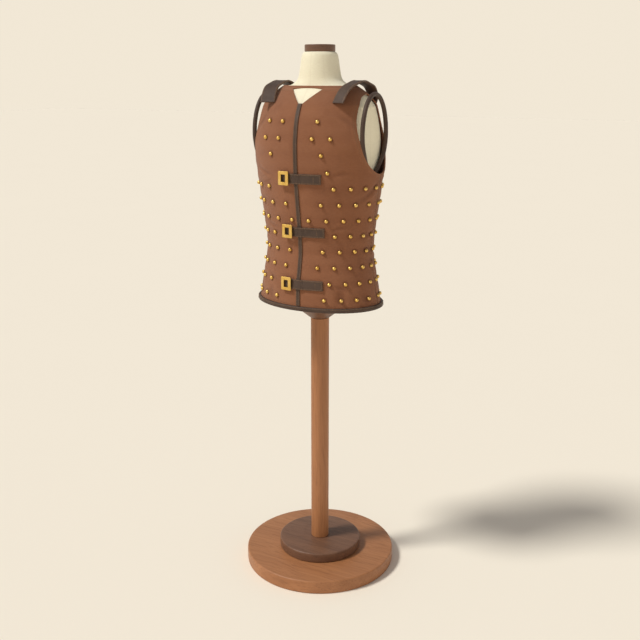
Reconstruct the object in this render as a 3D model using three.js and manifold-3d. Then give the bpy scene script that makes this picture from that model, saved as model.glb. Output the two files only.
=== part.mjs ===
// A riveted brigandine vest, buckled up on a limbless dress form stand.
// Millimetres, +Z up. The front faces -Y and the wearer's left is +X.
// The origin is the middle of the foot, on the floor.
import * as THREE from 'three';
import { mergeVertices } from 'three/addons/utils/BufferGeometryUtils.js';
import Module from 'manifold-3d';

const wasm = await Module();
wasm.setup();

// Cloth and leather
const CLOTH_WALL = 3;
const SEAM_GAP = 0.3;
const HEM_Z = 836;
const NECKLINE_Z = 1443;
const NECK_BAND_Z = 1435;
const NECK_BAND_ARCH = 3.8;
const NECK_OPENING = { bottomZ: 1397, bottomHalf: 6.5, topHalf: 46.5, reach: 200 };
const ANGLE_STEP = 9;
const FRONT_SEAM_HALF_ANGLE = 0.1;
const SIDE_SEAM_HALF_ANGLE = 0.12;

// The vest's outer surface: upright ellipses, from the hem to the neckline
const VEST_RINGS = [
  { z: HEM_Z, halfWidth: 188.5, halfDepth: 130 },
  { z: 864, halfWidth: 181.4, halfDepth: 129.7 },
  { z: 911, halfWidth: 173, halfDepth: 127.9 },
  { z: 956, halfWidth: 166, halfDepth: 119.5 },
  { z: 1000, halfWidth: 161, halfDepth: 113.5 },
  { z: 1087, halfWidth: 170.2, halfDepth: 122.5 },
  { z: 1131, halfWidth: 176.7, halfDepth: 129 },
  { z: 1174, halfWidth: 182.6, halfDepth: 134.6 },
  { z: 1218, halfWidth: 189.5, halfDepth: 139 },
  { z: 1262, halfWidth: 194.5, halfDepth: 141 },
  { z: 1293, halfWidth: 196.5, halfDepth: 141 },
  { z: 1324, halfWidth: 190.5, halfDepth: 137.5 },
  { z: 1353, halfWidth: 182, halfDepth: 131.5 },
  { z: 1378, halfWidth: 174.5, halfDepth: 121.5 },
  { z: 1397, halfWidth: 165, halfDepth: 111 },
  { z: 1428, halfWidth: 132, halfDepth: 82 },
  { z: NECKLINE_Z, halfWidth: 109, halfDepth: 64 },
];

// Armholes: upright ovals cut straight through the sides, and the padded leather rolls that sit in them
const ARMHOLE = { z: 1316, halfDepth: 80.5, halfHeight: 105.5, fromX: 50, toX: 250, sides: 36 };
const ROLL = { x: 167, z: 1316, halfDepth: 75.5, rise: 105, drop: 113, radius: 6.2, sides: 7, steps: 32 };
const ROLL_TUCK = { inward: 3, startZ: 1270, endZ: 1225, taper: 1.56 };

// Rivets: low domes whose shanks stand in the cloth
const RIVET = { radius: 5.6, shoulderRadius: 4.6, shoulderHeight: 4, height: 7, root: 1.6, sides: 5 };
const RIVET_SEAM_ANGLE = 4;
const RIVET_STRAP_CLEARANCE = { x: 78, z: 30 };
const RIVET_RINGS = [
  { z: 1175, firstAngle: 0.8, count: 22, clear: 20 },
  { z: 1131, firstAngle: 13.6, count: 21, clear: 20 },
  { z: 1087, firstAngle: 1.5, count: 21, clear: 20 },
  { z: 1044, firstAngle: 10.2, count: 21, clear: 20 },
  { z: 1000, firstAngle: 5.6, count: 20, clear: 20 },
  { z: 956, firstAngle: 9.8, count: 21, clear: 20 },
  { z: 912, firstAngle: 14.2, count: 22, clear: 20 },
  { z: 867, firstAngle: 8.4, count: 22, clear: 32 },
];
// Angles from the middle of the front, and from the middle of the back
const CHEST_RIVETS = [
  { z: 1351, front: [-30, -13.6, 19], back: [-27, -9, 9, 27] },
  { z: 1307, front: [-32, -16, 14.4, 29.4], back: [-36, -18, 0, 18, 36] },
  { z: 1264, front: [-25, 22], back: [-27, -9, 9, 27] },
  { z: 1218, front: [27.7], back: [-36, -18, 0, 18, 36] },
];

// Front closing
const PLACKET = { width: 11.5, thickness: 2.4, topZ: 1396, bottomZ: 847 };
const STRAP_HEIGHTS = [1201, 1053.8, 907.2];
const STRAP = { fromX: -47, toX: 71.5, height: 27, thickness: 4.2 };
const STRAP_HUMP = { halfTop: 7.5, leftFoot: -16, rightFoot: 18 };
const BUCKLE = { x: -35, width: 34, height: 37.5, sideBar: 10.2, endBar: 8.8, thickness: 4.6 };

// Hem trim: a leather strip folded round the cloth's lower edge, as offsets from the cloth and heights
const HEM_TRIM = { bottomZ: 832, topZ: 845, outside: 6, inside: 6, lip: 3 };

// Shoulder straps: leather bands. The front end stands on its inner corner, and the back end lies flat.
// turn is the angle of the band's width from the X axis
const SHOULDER_STRAP = { width: 40, thickness: 4, endGap: 0.8, steps: 24 };
const STRAP_END_HEIGHTS = [1391, 1380];
const STRAP_BACK_END_X = [119, 118];
const STRAP_ARCH = [
  { x: 107.5, y: -100, z: 1398, turn: -19 },
  { x: 111.5, y: -85.5, z: 1419.5, turn: -19 },
  { x: 115.5, y: -65.5, z: 1436.3, turn: -17 },
  { x: 118, y: -40, z: 1444.8, turn: -14 },
  { x: 120, y: 0, z: 1451.3, turn: -12 },
  { x: 121, y: 33, z: 1446, turn: -11 },
  { x: 122, y: 59.5, z: 1437.8, turn: -12 },
  { x: 122.5, y: 75, z: 1421, turn: -16 },
  { x: 121, y: 82.5, z: 1407.5, turn: -22 },
];

// Dress form: ellipses up to the ribs and at the neck. Between them it follows the vest from inside,
// with flattened sides behind the armholes. fill is how far a ring has come from its ellipse to the vest
const FORM_CLEARANCE = { chest: 1.2, shoulder: 0.5 };
const FORM_SIDE = { halfWidth: 156, sharpness: 20 };
const FORM_BODY = [
  { z: 828, halfWidth: 150, halfDepth: 103 },
  { z: 835, halfWidth: 158, halfDepth: 110 },
  { z: 911, halfWidth: 151, halfDepth: 109 },
  { z: 1000, halfWidth: 147, halfDepth: 104 },
  { z: 1087, halfWidth: 148, halfDepth: 108 },
];
const FORM_RIBS = [
  { z: 1131, halfWidth: 150, halfDepth: 111, fill: 0.3 },
  { z: 1174, halfWidth: 152, halfDepth: 115, fill: 0.7 },
  { z: 1218, halfWidth: 153, halfDepth: 119, fill: 0.95 },
];
const FORM_NECK = [
  { z: 1444, halfWidth: 86, halfDepth: 58 },
  { z: 1449, halfWidth: 75, halfDepth: 56.5 },
  { z: 1456, halfWidth: 66, halfDepth: 55.5 },
  { z: 1463, halfWidth: 61.5, halfDepth: 54.5 },
  { z: 1484, halfWidth: 56, halfDepth: 54 },
  { z: 1518, halfWidth: 50.5, halfDepth: 50.5 },
  { z: 1526, halfWidth: 47.5, halfDepth: 47.5 },
  { z: 1531, halfWidth: 43, halfDepth: 43 },
];

// Stand, as radius and height pairs from the axis outwards and back
const TOTAL_HEIGHT = 1550;
const CAP_RADIUS = 42;
const POLE = { radius: 27, topZ: 783 };
const SOCKET = { rimRadius: 79, rimZ: 824, waistRadius: 51, waistZ: 801, footRadius: 28.5 };
const BASE_DISC = { radius: 228, topZ: 40.6, chamfer: 4 };
const BASE_COLLAR = { radius: 125, topZ: 71, chamfer: 3 };

const MATERIALS = {
  cloth: new THREE.MeshStandardMaterial({ color: 0x9c6848, roughness: 0.85 }),
  leather: new THREE.MeshStandardMaterial({ color: 0x54443a, roughness: 0.65 }),
  brass: new THREE.MeshStandardMaterial({ color: 0xe0b050, roughness: 0.35, metalness: 1 }),
  linen: new THREE.MeshStandardMaterial({ color: 0xf6e9c8, roughness: 0.9 }),
  wood: new THREE.MeshStandardMaterial({ color: 0xa9714a, roughness: 0.5 }),
  darkWood: new THREE.MeshStandardMaterial({ color: 0x6b4f3e, roughness: 0.5 }),
};

const radians = THREE.MathUtils.degToRad;
const group = new THREE.Group();

function addPart(name, geometry, material) {
  const mesh = new THREE.Mesh(geometry, material);
  mesh.name = name;
  group.add(mesh);
}

// Closed surfaces from rows of points

function geometryFrom(points, triangles) {
  const geometry = new THREE.BufferGeometry();
  const positions = points.flatMap((point) => [point.x, point.y, point.z]);
  geometry.setAttribute('position', new THREE.Float32BufferAttribute(positions, 3));
  geometry.setIndex(triangles);
  return geometry;
}

// A solid through a row of like sections, each turning right-handed about the way along the row
function loft(sections, isLoop) {
  const count = sections[0].length;
  const triangles = [];
  const spans = isLoop ? sections.length : sections.length - 1;
  for (let span = 0; span < spans; span += 1) {
    const near = span * count;
    const far = ((span + 1) % sections.length) * count;
    for (let corner = 0; corner < count; corner += 1) {
      const next = (corner + 1) % count;
      triangles.push(near + corner, near + next, far + next);
      triangles.push(near + corner, far + next, far + corner);
    }
  }
  if (!isLoop) {
    const last = (sections.length - 1) * count;
    for (let corner = 1; corner < count - 1; corner += 1) {
      triangles.push(0, corner + 1, corner);
      triangles.push(last, last + corner, last + corner + 1);
    }
  }
  return geometryFrom(sections.flat(), triangles);
}

// A wall over a grid of angles and heights. pointAt(angle, z, isOuter) gives its points
function wall(angles, heights, pointAt, isRing) {
  const rows = heights.length;
  const columns = angles.length;
  const points = [];
  for (const isOuter of [true, false]) {
    for (const angle of angles) {
      for (const z of heights) points.push(pointAt(angle, z, isOuter));
    }
  }
  const outer = (column, row) => (column % columns) * rows + row;
  const inner = (column, row) => columns * rows + outer(column, row);
  const triangles = [];
  const quad = (a, b, c, d) => triangles.push(a, b, c, a, c, d);
  const spans = isRing ? columns : columns - 1;
  for (let column = 0; column < spans; column += 1) {
    const next = column + 1;
    for (let row = 0; row < rows - 1; row += 1) {
      quad(outer(column, row), outer(next, row), outer(next, row + 1), outer(column, row + 1));
      quad(inner(column, row), inner(column, row + 1), inner(next, row + 1), inner(next, row));
    }
    const top = rows - 1;
    quad(outer(column, 0), inner(column, 0), inner(next, 0), outer(next, 0));
    quad(outer(column, top), outer(next, top), inner(next, top), inner(column, top));
  }
  if (!isRing) {
    const last = columns - 1;
    for (let row = 0; row < rows - 1; row += 1) {
      quad(outer(0, row), outer(0, row + 1), inner(0, row + 1), inner(0, row));
      quad(outer(last, row), inner(last, row), inner(last, row + 1), outer(last, row + 1));
    }
  }
  return geometryFrom(points, triangles);
}

// Cutting and joining

function solidFrom(geometry) {
  const bare = geometry.clone();
  bare.deleteAttribute('normal');
  bare.deleteAttribute('uv');
  const merged = mergeVertices(bare);
  const corners = merged.index.array;
  const triangles = [];
  for (let i = 0; i < corners.length; i += 3) {
    const [a, b, c] = [corners[i], corners[i + 1], corners[i + 2]];
    if (a !== b && b !== c && c !== a) triangles.push(a, b, c);
  }
  return new wasm.Manifold(new wasm.Mesh({
    numProp: 3,
    vertProperties: new Float32Array(merged.attributes.position.array),
    triVerts: new Uint32Array(triangles),
  }));
}

function geometryOf(solid) {
  const mesh = solid.getMesh();
  const geometry = new THREE.BufferGeometry();
  geometry.setAttribute('position', new THREE.BufferAttribute(mesh.vertProperties, 3));
  geometry.setIndex(new THREE.BufferAttribute(mesh.triVerts, 1));
  return geometry;
}

// The vest's skin: its outer surface, moved out or in by an offset

function ringPoint(ring, angle) {
  const turn = radians(angle);
  return new THREE.Vector3(ring.halfWidth * Math.sin(turn), -ring.halfDepth * Math.cos(turn), ring.z);
}

function skinNormal(level, angle) {
  const ring = VEST_RINGS[level];
  const turn = radians(angle);
  const around = new THREE.Vector3(ring.halfWidth * Math.cos(turn), ring.halfDepth * Math.sin(turn), 0);
  const above = ringPoint(VEST_RINGS[Math.min(level + 1, VEST_RINGS.length - 1)], angle);
  const below = ringPoint(VEST_RINGS[Math.max(level - 1, 0)], angle);
  return around.cross(above.sub(below)).normalize();
}

function skinCorner(level, angle, offset) {
  return ringPoint(VEST_RINGS[level], angle).addScaledVector(skinNormal(level, angle), offset);
}

function skinPoint(angle, z, offset) {
  const levels = VEST_RINGS.length - 1;
  const found = VEST_RINGS.findIndex((ring) => ring.z > z) - 1;
  const level = THREE.MathUtils.clamp(found < -1 ? levels - 1 : found, 0, levels - 1);
  const up = (z - VEST_RINGS[level].z) / (VEST_RINGS[level + 1].z - VEST_RINGS[level].z);
  const fromAngle = Math.floor(angle / ANGLE_STEP) * ANGLE_STEP;
  const across = (angle - fromAngle) / ANGLE_STEP;
  const edge = (edgeAngle) => skinCorner(level, edgeAngle, offset)
    .lerp(skinCorner(level + 1, edgeAngle, offset), up);
  return edge(fromAngle).lerp(edge(fromAngle + ANGLE_STEP), across);
}

// The angle at which the front of the skin lies at a distance from the middle plane
function angleAtX(x, z) {
  let low = -90;
  let high = 90;
  for (let round = 0; round < 40; round += 1) {
    const middle = (low + high) / 2;
    if (skinPoint(middle, z, 0).x < x) low = middle;
    else high = middle;
  }
  return low;
}

// Every grid line between two values, with the two ends
function steppedAngles(from, to) {
  const angles = [from];
  for (let step = Math.floor(from / ANGLE_STEP) + 1; step * ANGLE_STEP < to; step += 1) {
    angles.push(step * ANGLE_STEP);
  }
  return [...angles, to];
}

function steppedHeights(from, to) {
  const between = VEST_RINGS.map((ring) => ring.z).filter((z) => z > from && z < to);
  return [from, ...between, to];
}

function skinWall(angles, heights, fromOffset, toOffset, isRing = false) {
  const pointAt = (angle, z, isOuter) => skinPoint(angle, z, isOuter ? toOffset : fromOffset);
  return wall(angles, heights, pointAt, isRing);
}

const fullTurn = Array.from({ length: 360 / ANGLE_STEP }, (_, step) => step * ANGLE_STEP);

// Cloth panels

function armholeCutter(side) {
  const cutter = new THREE.CylinderGeometry(1, 1, 1, ARMHOLE.sides);
  cutter.rotateZ(Math.PI / 2);
  cutter.scale(ARMHOLE.toX - ARMHOLE.fromX, ARMHOLE.halfDepth, ARMHOLE.halfHeight);
  cutter.translate(side * (ARMHOLE.fromX + ARMHOLE.toX) / 2, 0, ARMHOLE.z);
  return solidFrom(cutter);
}

function neckOpeningCutter() {
  const { bottomZ, bottomHalf, topHalf } = NECK_OPENING;
  const slope = (topHalf - bottomHalf) / (NECK_BAND_Z - bottomZ);
  const aboveZ = NECK_BAND_Z + 10;
  const aboveHalf = topHalf + slope * (aboveZ - NECK_BAND_Z);
  const outline = new THREE.Shape([
    new THREE.Vector2(-bottomHalf, bottomZ),
    new THREE.Vector2(bottomHalf, bottomZ),
    new THREE.Vector2(aboveHalf, aboveZ),
    new THREE.Vector2(-aboveHalf, aboveZ),
  ]);
  const cutter = new THREE.ExtrudeGeometry(outline, { depth: NECK_OPENING.reach, bevelEnabled: false });
  cutter.rotateX(Math.PI / 2);
  return solidFrom(cutter);
}

function rivetAt(angle, z) {
  const fromSeam = Math.abs(angle) - 90;
  const kept = fromSeam < 0 ? -RIVET_SEAM_ANGLE : RIVET_SEAM_ANGLE;
  const nudged = Math.abs(fromSeam) < RIVET_SEAM_ANGLE ? Math.sign(angle) * (90 + kept) : angle;
  const profile = [
    new THREE.Vector2(0, -RIVET.root),
    new THREE.Vector2(RIVET.radius, -RIVET.root),
    new THREE.Vector2(RIVET.shoulderRadius, RIVET.shoulderHeight),
    new THREE.Vector2(0, RIVET.height),
  ];
  const dome = new THREE.LatheGeometry(profile, RIVET.sides);
  const place = skinPoint(nudged, z, 0);
  const outward = skinPoint(nudged, z, 1).sub(place).normalize();
  dome.applyQuaternion(new THREE.Quaternion().setFromUnitVectors(new THREE.Vector3(0, 1, 0), outward));
  dome.translate(place.x, place.y, place.z);
  return { angle: nudged, solid: solidFrom(dome) };
}

function isClearOfClosing(angle, z, fromMiddle) {
  if (Math.abs(angle) > 90) return true;
  const { x } = skinPoint(angle, z, 0);
  const isOffStraps = STRAP_HEIGHTS.every((height) => (
    Math.abs(z - height) > RIVET_STRAP_CLEARANCE.z || Math.abs(x) > RIVET_STRAP_CLEARANCE.x
  ));
  return isOffStraps && Math.abs(x) > fromMiddle;
}

// Angles run from -180 to 180
function makeRivets() {
  const rivets = [];
  for (const ring of RIVET_RINGS) {
    for (let index = 0; index < ring.count; index += 1) {
      const angle = -180 + ring.firstAngle + index * 360 / ring.count;
      if (isClearOfClosing(angle, ring.z, ring.clear)) rivets.push(rivetAt(angle, ring.z));
    }
  }
  for (const row of CHEST_RIVETS) {
    for (const angle of row.front) rivets.push(rivetAt(angle, row.z));
    for (const angle of row.back) rivets.push(rivetAt(angle < 0 ? angle + 180 : angle - 180, row.z));
  }
  return rivets;
}

function makePanels() {
  const heights = steppedHeights(HEM_Z, NECK_BAND_Z - SEAM_GAP);
  const cutters = [armholeCutter(-1), armholeCutter(1), neckOpeningCutter()];
  const rivets = makeRivets();
  const side = 90 - SIDE_SEAM_HALF_ANGLE;
  const panels = [
    { name: 'vest_front_right', from: -side, to: -FRONT_SEAM_HALF_ANGLE },
    { name: 'vest_front_left', from: FRONT_SEAM_HALF_ANGLE, to: side },
    { name: 'vest_back', from: 180 - side, to: 180 + side },
  ];
  for (const panel of panels) {
    const cloth = skinWall(steppedAngles(panel.from, panel.to), heights, -CLOTH_WALL, 0);
    const own = rivets.filter(({ angle }) => {
      const turned = angle < panel.from ? angle + 360 : angle;
      return turned > panel.from && turned < panel.to;
    });
    let solid = solidFrom(cloth);
    for (const cutter of cutters) solid = solid.subtract(cutter);
    for (const rivet of own) solid = solid.add(rivet.solid);
    addPart(panel.name, geometryOf(solid), MATERIALS.cloth);
  }
}

// The neck band's lower edge arches over the opening at the throat
function makeNeckBand() {
  const cornerAngle = angleAtX(NECK_OPENING.topHalf, NECK_BAND_Z);
  const lowerEdge = (angle) => {
    const fromFront = Math.min(angle, 360 - angle) / cornerAngle;
    return NECK_BAND_Z + NECK_BAND_ARCH * Math.max(0, 1 - fromFront ** 2);
  };
  const pointAt = (angle, row, isOuter) => {
    const z = row === 0 ? lowerEdge(angle) : NECKLINE_Z;
    return skinPoint(angle, z, isOuter ? 0 : -CLOTH_WALL);
  };
  addPart('neck_band', wall(fullTurn, [0, 1], pointAt, true), MATERIALS.cloth);
}

// Leather and brass on the cloth

function makePlacket() {
  const half = PLACKET.width / 2;
  const heights = steppedHeights(PLACKET.bottomZ, PLACKET.topZ);
  const pointAt = (across, z, isOuter) => skinPoint(
    across * angleAtX(half, z),
    z,
    isOuter ? SEAM_GAP + PLACKET.thickness : SEAM_GAP,
  );
  addPart('placket_strip', wall([-1, 0, 1], heights, pointAt, false), MATERIALS.leather);
}

// How far the strap's underside stands off the cloth where it crosses the placket
function strapOffset(angle, z) {
  const { x } = skinPoint(angle, z, 0);
  const raised = SEAM_GAP + PLACKET.thickness + SEAM_GAP;
  const { halfTop, leftFoot, rightFoot } = STRAP_HUMP;
  const foot = x < 0 ? -leftFoot : rightFoot;
  const up = THREE.MathUtils.clamp((foot - Math.abs(x)) / (foot - halfTop), 0, 1);
  return SEAM_GAP + (raised - SEAM_GAP) * up;
}

function makeFrontStrap(name, middleZ) {
  const { fromX, toX, height, thickness } = STRAP;
  const { halfTop, leftFoot, rightFoot } = STRAP_HUMP;
  const angleHere = (x) => angleAtX(x, middleZ);
  const bends = [leftFoot, -halfTop, halfTop, rightFoot].map(angleHere);
  const angles = [...steppedAngles(angleHere(fromX), angleHere(toX)), ...bends].sort((a, b) => a - b);
  const heights = steppedHeights(middleZ - height / 2, middleZ + height / 2);
  const pointAt = (angle, z, isOuter) => {
    const offset = strapOffset(angle, middleZ);
    return skinPoint(angle, z, isOuter ? offset + thickness : offset);
  };
  addPart(name, wall(angles, heights, pointAt, false), MATERIALS.leather);
}

// A flat upright frame, one seam gap outside the strap where the strap leans out furthest
function makeBuckle(name, middleZ) {
  const { x, width, height, sideBar, endBar, thickness } = BUCKLE;
  const middle = skinPoint(angleAtX(x, middleZ), middleZ, 0);
  const outward = skinPoint(angleAtX(x, middleZ), middleZ, 1).sub(middle).setZ(0).normalize();
  const shares = [-1, -0.75, -0.5, -0.25, 0, 0.25, 0.5, 0.75, 1];
  const strapReach = Math.max(...shares.flatMap((across) => shares.map((up) => {
    const angle = angleAtX(x + across * width / 2, middleZ);
    return skinPoint(angle, middleZ + up * STRAP.height / 2, SEAM_GAP + STRAP.thickness).dot(outward);
  })));
  middle.addScaledVector(outward, strapReach + SEAM_GAP + thickness / 2 - middle.dot(outward));
  const plate = (plateWidth, plateHeight, plateThickness) => {
    const box = new THREE.BoxGeometry(plateWidth, plateThickness, plateHeight);
    box.rotateZ(Math.atan2(outward.x, -outward.y));
    box.translate(middle.x, middle.y, middle.z);
    return solidFrom(box);
  };
  const opening = plate(width - 2 * sideBar, height - 2 * endBar, thickness + 2);
  addPart(name, geometryOf(plate(width, height, thickness).subtract(opening)), MATERIALS.brass);
}

function makeHemTrim() {
  const { bottomZ, topZ, outside, inside, lip } = HEM_TRIM;
  const clothInside = -CLOTH_WALL - SEAM_GAP;
  const corners = [
    { offset: SEAM_GAP, z: topZ },
    { offset: outside - lip, z: topZ },
    { offset: outside, z: topZ - lip },
    { offset: outside, z: bottomZ + lip },
    { offset: outside - lip, z: bottomZ },
    { offset: -inside, z: bottomZ },
    { offset: -inside, z: topZ - lip },
    { offset: clothInside, z: topZ - lip },
    { offset: clothInside, z: HEM_Z - SEAM_GAP },
    { offset: SEAM_GAP, z: HEM_Z - SEAM_GAP },
  ];
  const sections = fullTurn.map((angle) => corners.map(({ offset, z }) => skinPoint(angle, z, offset)));
  addPart('hem_trim', loft(sections, true), MATERIALS.leather);
}

// Below the tuck the roll draws in and passes behind the cloth's edge
function makeArmholeRoll(name, side) {
  const { x, z, halfDepth, rise, drop, radius, sides, steps } = ROLL;
  const centreAt = (turn) => {
    const up = Math.cos(turn);
    const out = Math.abs(Math.sin(turn)) ** (up < 0 ? ROLL_TUCK.taper : 1);
    const height = z + up * (up < 0 ? drop : rise);
    const tuck = THREE.MathUtils.smoothstep(-height, -ROLL_TUCK.startZ, -ROLL_TUCK.endZ);
    const depth = Math.sign(Math.sin(turn)) * halfDepth * out;
    return new THREE.Vector3(side * (x - ROLL_TUCK.inward * tuck), depth, height);
  };
  const sections = [];
  for (let step = 0; step < steps; step += 1) {
    const turn = -side * (step + 0.5) * 2 * Math.PI / steps;
    const along = centreAt(turn + 0.01).sub(centreAt(turn - 0.01)).multiplyScalar(-side).normalize();
    const sideways = new THREE.Vector3(side, 0, 0);
    const inward = along.clone().cross(sideways).normalize();
    const outward = inward.clone().cross(along);
    const section = [];
    for (let corner = 0; corner < sides; corner += 1) {
      const angle = (corner + 0.5) * 2 * Math.PI / sides;
      section.push(centreAt(turn)
        .addScaledVector(outward, radius * Math.cos(angle))
        .addScaledVector(inward, radius * Math.sin(angle)));
    }
    sections.push(section);
  }
  addPart(name, loft(sections, true), MATERIALS.leather);
}

// The two stations at which the back end of the shoulder strap lies flat on the cloth
function strapEndStations() {
  return STRAP_END_HEIGHTS.map((z, index) => {
    const angle = 180 - angleAtX(STRAP_BACK_END_X[index], z);
    const across = skinPoint(angle + 5, z, 0).sub(skinPoint(angle - 5, z, 0));
    const turn = THREE.MathUtils.radToDeg(Math.atan(across.y / across.x));
    const { x, y, z: height } = skinPoint(angle, z, SHOULDER_STRAP.endGap);
    return { x, y, z: height, turn };
  });
}

function makeShoulderStrap(name, side) {
  const { width, thickness, steps } = SHOULDER_STRAP;
  const stations = [...STRAP_ARCH, ...strapEndStations()];
  const path = new THREE.CatmullRomCurve3(stations.map(({ x, y, z }) => new THREE.Vector3(x, y, z)));
  const sections = [];
  for (let step = 0; step <= steps; step += 1) {
    const at = step / steps;
    const station = Math.min(Math.floor(at * (stations.length - 1)), stations.length - 2);
    const blend = at * (stations.length - 1) - station;
    const turn = radians(THREE.MathUtils.lerp(stations[station].turn, stations[station + 1].turn, blend));
    const across = new THREE.Vector3(Math.cos(turn), Math.sin(turn), 0);
    const outward = across.clone().cross(path.getTangent(at)).normalize();
    const corner = (sideways, out) => {
      const point = path.getPoint(at)
        .addScaledVector(across, sideways * width / 2)
        .addScaledVector(outward, out * thickness);
      return point.setX(side * point.x);
    };
    const section = [corner(-1, 1), corner(1, 1), corner(1, 0), corner(-1, 0)];
    sections.push(side > 0 ? section : section.reverse());
  }
  addPart(name, loft(sections, false), MATERIALS.leather);
}

// Dress form and stand

function formInsideVest(level, angle) {
  const isShoulder = level >= VEST_RINGS.length - 2;
  const clearance = isShoulder ? FORM_CLEARANCE.shoulder : FORM_CLEARANCE.chest;
  const point = skinCorner(level, angle, -CLOTH_WALL - clearance);
  const { halfWidth, sharpness } = FORM_SIDE;
  const past = (Math.abs(point.x) / halfWidth) ** sharpness;
  return point.setX(point.x / (1 + past) ** (1 / sharpness));
}

function makeDressForm() {
  const levels = VEST_RINGS.map((ring, level) => level);
  const chest = levels.filter((level) => VEST_RINGS[level].z > FORM_RIBS.at(-1).z);
  const ribPoint = (ring, angle) => {
    const level = VEST_RINGS.findIndex(({ z }) => z === ring.z);
    return ringPoint(ring, angle).lerp(formInsideVest(level, angle), ring.fill);
  };
  const sections = [
    ...FORM_BODY.map((ring) => fullTurn.map((angle) => ringPoint(ring, angle))),
    ...FORM_RIBS.map((ring) => fullTurn.map((angle) => ribPoint(ring, angle))),
    ...chest.map((level) => fullTurn.map((angle) => formInsideVest(level, angle))),
    ...FORM_NECK.map((ring) => fullTurn.map((angle) => ringPoint(ring, angle))),
  ];
  addPart('dress_form', loft(sections, false), MATERIALS.linen);
}

function addTurned(name, profile, segments, material) {
  const points = profile.map(([radius, z]) => new THREE.Vector2(radius, z));
  const geometry = new THREE.LatheGeometry(points, segments);
  geometry.rotateX(Math.PI / 2);
  addPart(name, geometry, material);
}

function discProfile({ radius, topZ, chamfer }, bottomZ) {
  return [
    [0, bottomZ],
    [radius - chamfer, bottomZ],
    [radius, bottomZ + chamfer],
    [radius, topZ - chamfer],
    [radius - chamfer, topZ],
    [0, topZ],
  ];
}

function makeStand() {
  addTurned('base_disc', discProfile(BASE_DISC, 0), 48, MATERIALS.wood);
  const collarBottom = BASE_DISC.topZ + SEAM_GAP;
  addTurned('base_collar', discProfile(BASE_COLLAR, collarBottom), 40, MATERIALS.darkWood);
  const poleBottom = BASE_COLLAR.topZ + SEAM_GAP;
  const poleTop = POLE.topZ - SEAM_GAP;
  addTurned('pole', [[0, poleBottom], [POLE.radius, poleBottom], [POLE.radius, poleTop], [0, poleTop]],
    24, MATERIALS.wood);
  const socketTop = FORM_BODY[0].z - SEAM_GAP;
  addTurned('form_socket', [
    [0, POLE.topZ],
    [SOCKET.footRadius, POLE.topZ],
    [SOCKET.waistRadius, SOCKET.waistZ],
    [SOCKET.rimRadius, SOCKET.rimZ],
    [SOCKET.rimRadius, socketTop],
    [0, socketTop],
  ], 32, MATERIALS.darkWood);
  const capBottom = FORM_NECK.at(-1).z + SEAM_GAP;
  addTurned('neck_cap', discProfile({ radius: CAP_RADIUS, topZ: TOTAL_HEIGHT, chamfer: 2 }, capBottom),
    32, MATERIALS.darkWood);
}

makeStand();
makeDressForm();
makePanels();
makeNeckBand();
makePlacket();
makeHemTrim();
STRAP_HEIGHTS.forEach((z, index) => {
  makeFrontStrap(`front_strap_${index + 1}`, z);
  makeBuckle(`buckle_${index + 1}`, z);
});
makeArmholeRoll('armhole_roll_right', -1);
makeArmholeRoll('armhole_roll_left', 1);
makeShoulderStrap('shoulder_strap_right', -1);
makeShoulderStrap('shoulder_strap_left', 1);

export default group;
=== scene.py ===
# A riveted brigandine vest on a limbless dress form stand: the looks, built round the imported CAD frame.
# Sizes are in millimetres, and a mesh is scaled to metres as it is made. The front faces -Y.
import math
from functools import lru_cache

import bmesh
import bpy
import numpy as np
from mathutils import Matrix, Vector


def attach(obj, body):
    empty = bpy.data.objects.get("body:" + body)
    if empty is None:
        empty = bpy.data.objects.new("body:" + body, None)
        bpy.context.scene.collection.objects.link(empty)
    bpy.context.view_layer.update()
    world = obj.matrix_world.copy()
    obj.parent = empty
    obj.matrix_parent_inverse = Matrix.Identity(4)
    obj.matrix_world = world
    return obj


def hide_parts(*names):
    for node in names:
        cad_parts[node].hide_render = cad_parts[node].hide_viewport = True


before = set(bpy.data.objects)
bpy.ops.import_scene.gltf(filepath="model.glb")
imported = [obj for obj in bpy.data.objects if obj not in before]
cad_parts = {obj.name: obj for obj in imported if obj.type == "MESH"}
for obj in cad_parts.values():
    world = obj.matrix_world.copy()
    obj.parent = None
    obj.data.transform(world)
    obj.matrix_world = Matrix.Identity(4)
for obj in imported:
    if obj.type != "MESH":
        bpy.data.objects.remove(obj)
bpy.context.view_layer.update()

MM = 0.001

# Camera: found by fitting the foot, the pole and the vest to the photo
CAMERA_FIELD = 40.0
CAMERA_TURN = 28.2
CAMERA_TILT = 15.49
CAMERA_DISTANCE = 2503
CAMERA_HEIGHT = 1466.7

# Light: one soft key from the front left, a pale overhead glow and a backdrop of the floor's own brightness
BACKDROP = (0.885, 0.8036, 0.6692)
OVERHEAD = (0.265, 0.275, 0.30)
FLOOR = (0.930, 0.845, 0.715)
HORIZON_GLOW = {"full": 10, "gone": 30}
KEY = {"heading": 45.3, "fall": 52.6, "softness": 12, "energy": 2.43, "colour": (1.0, 1.0, 0.967)}

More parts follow.
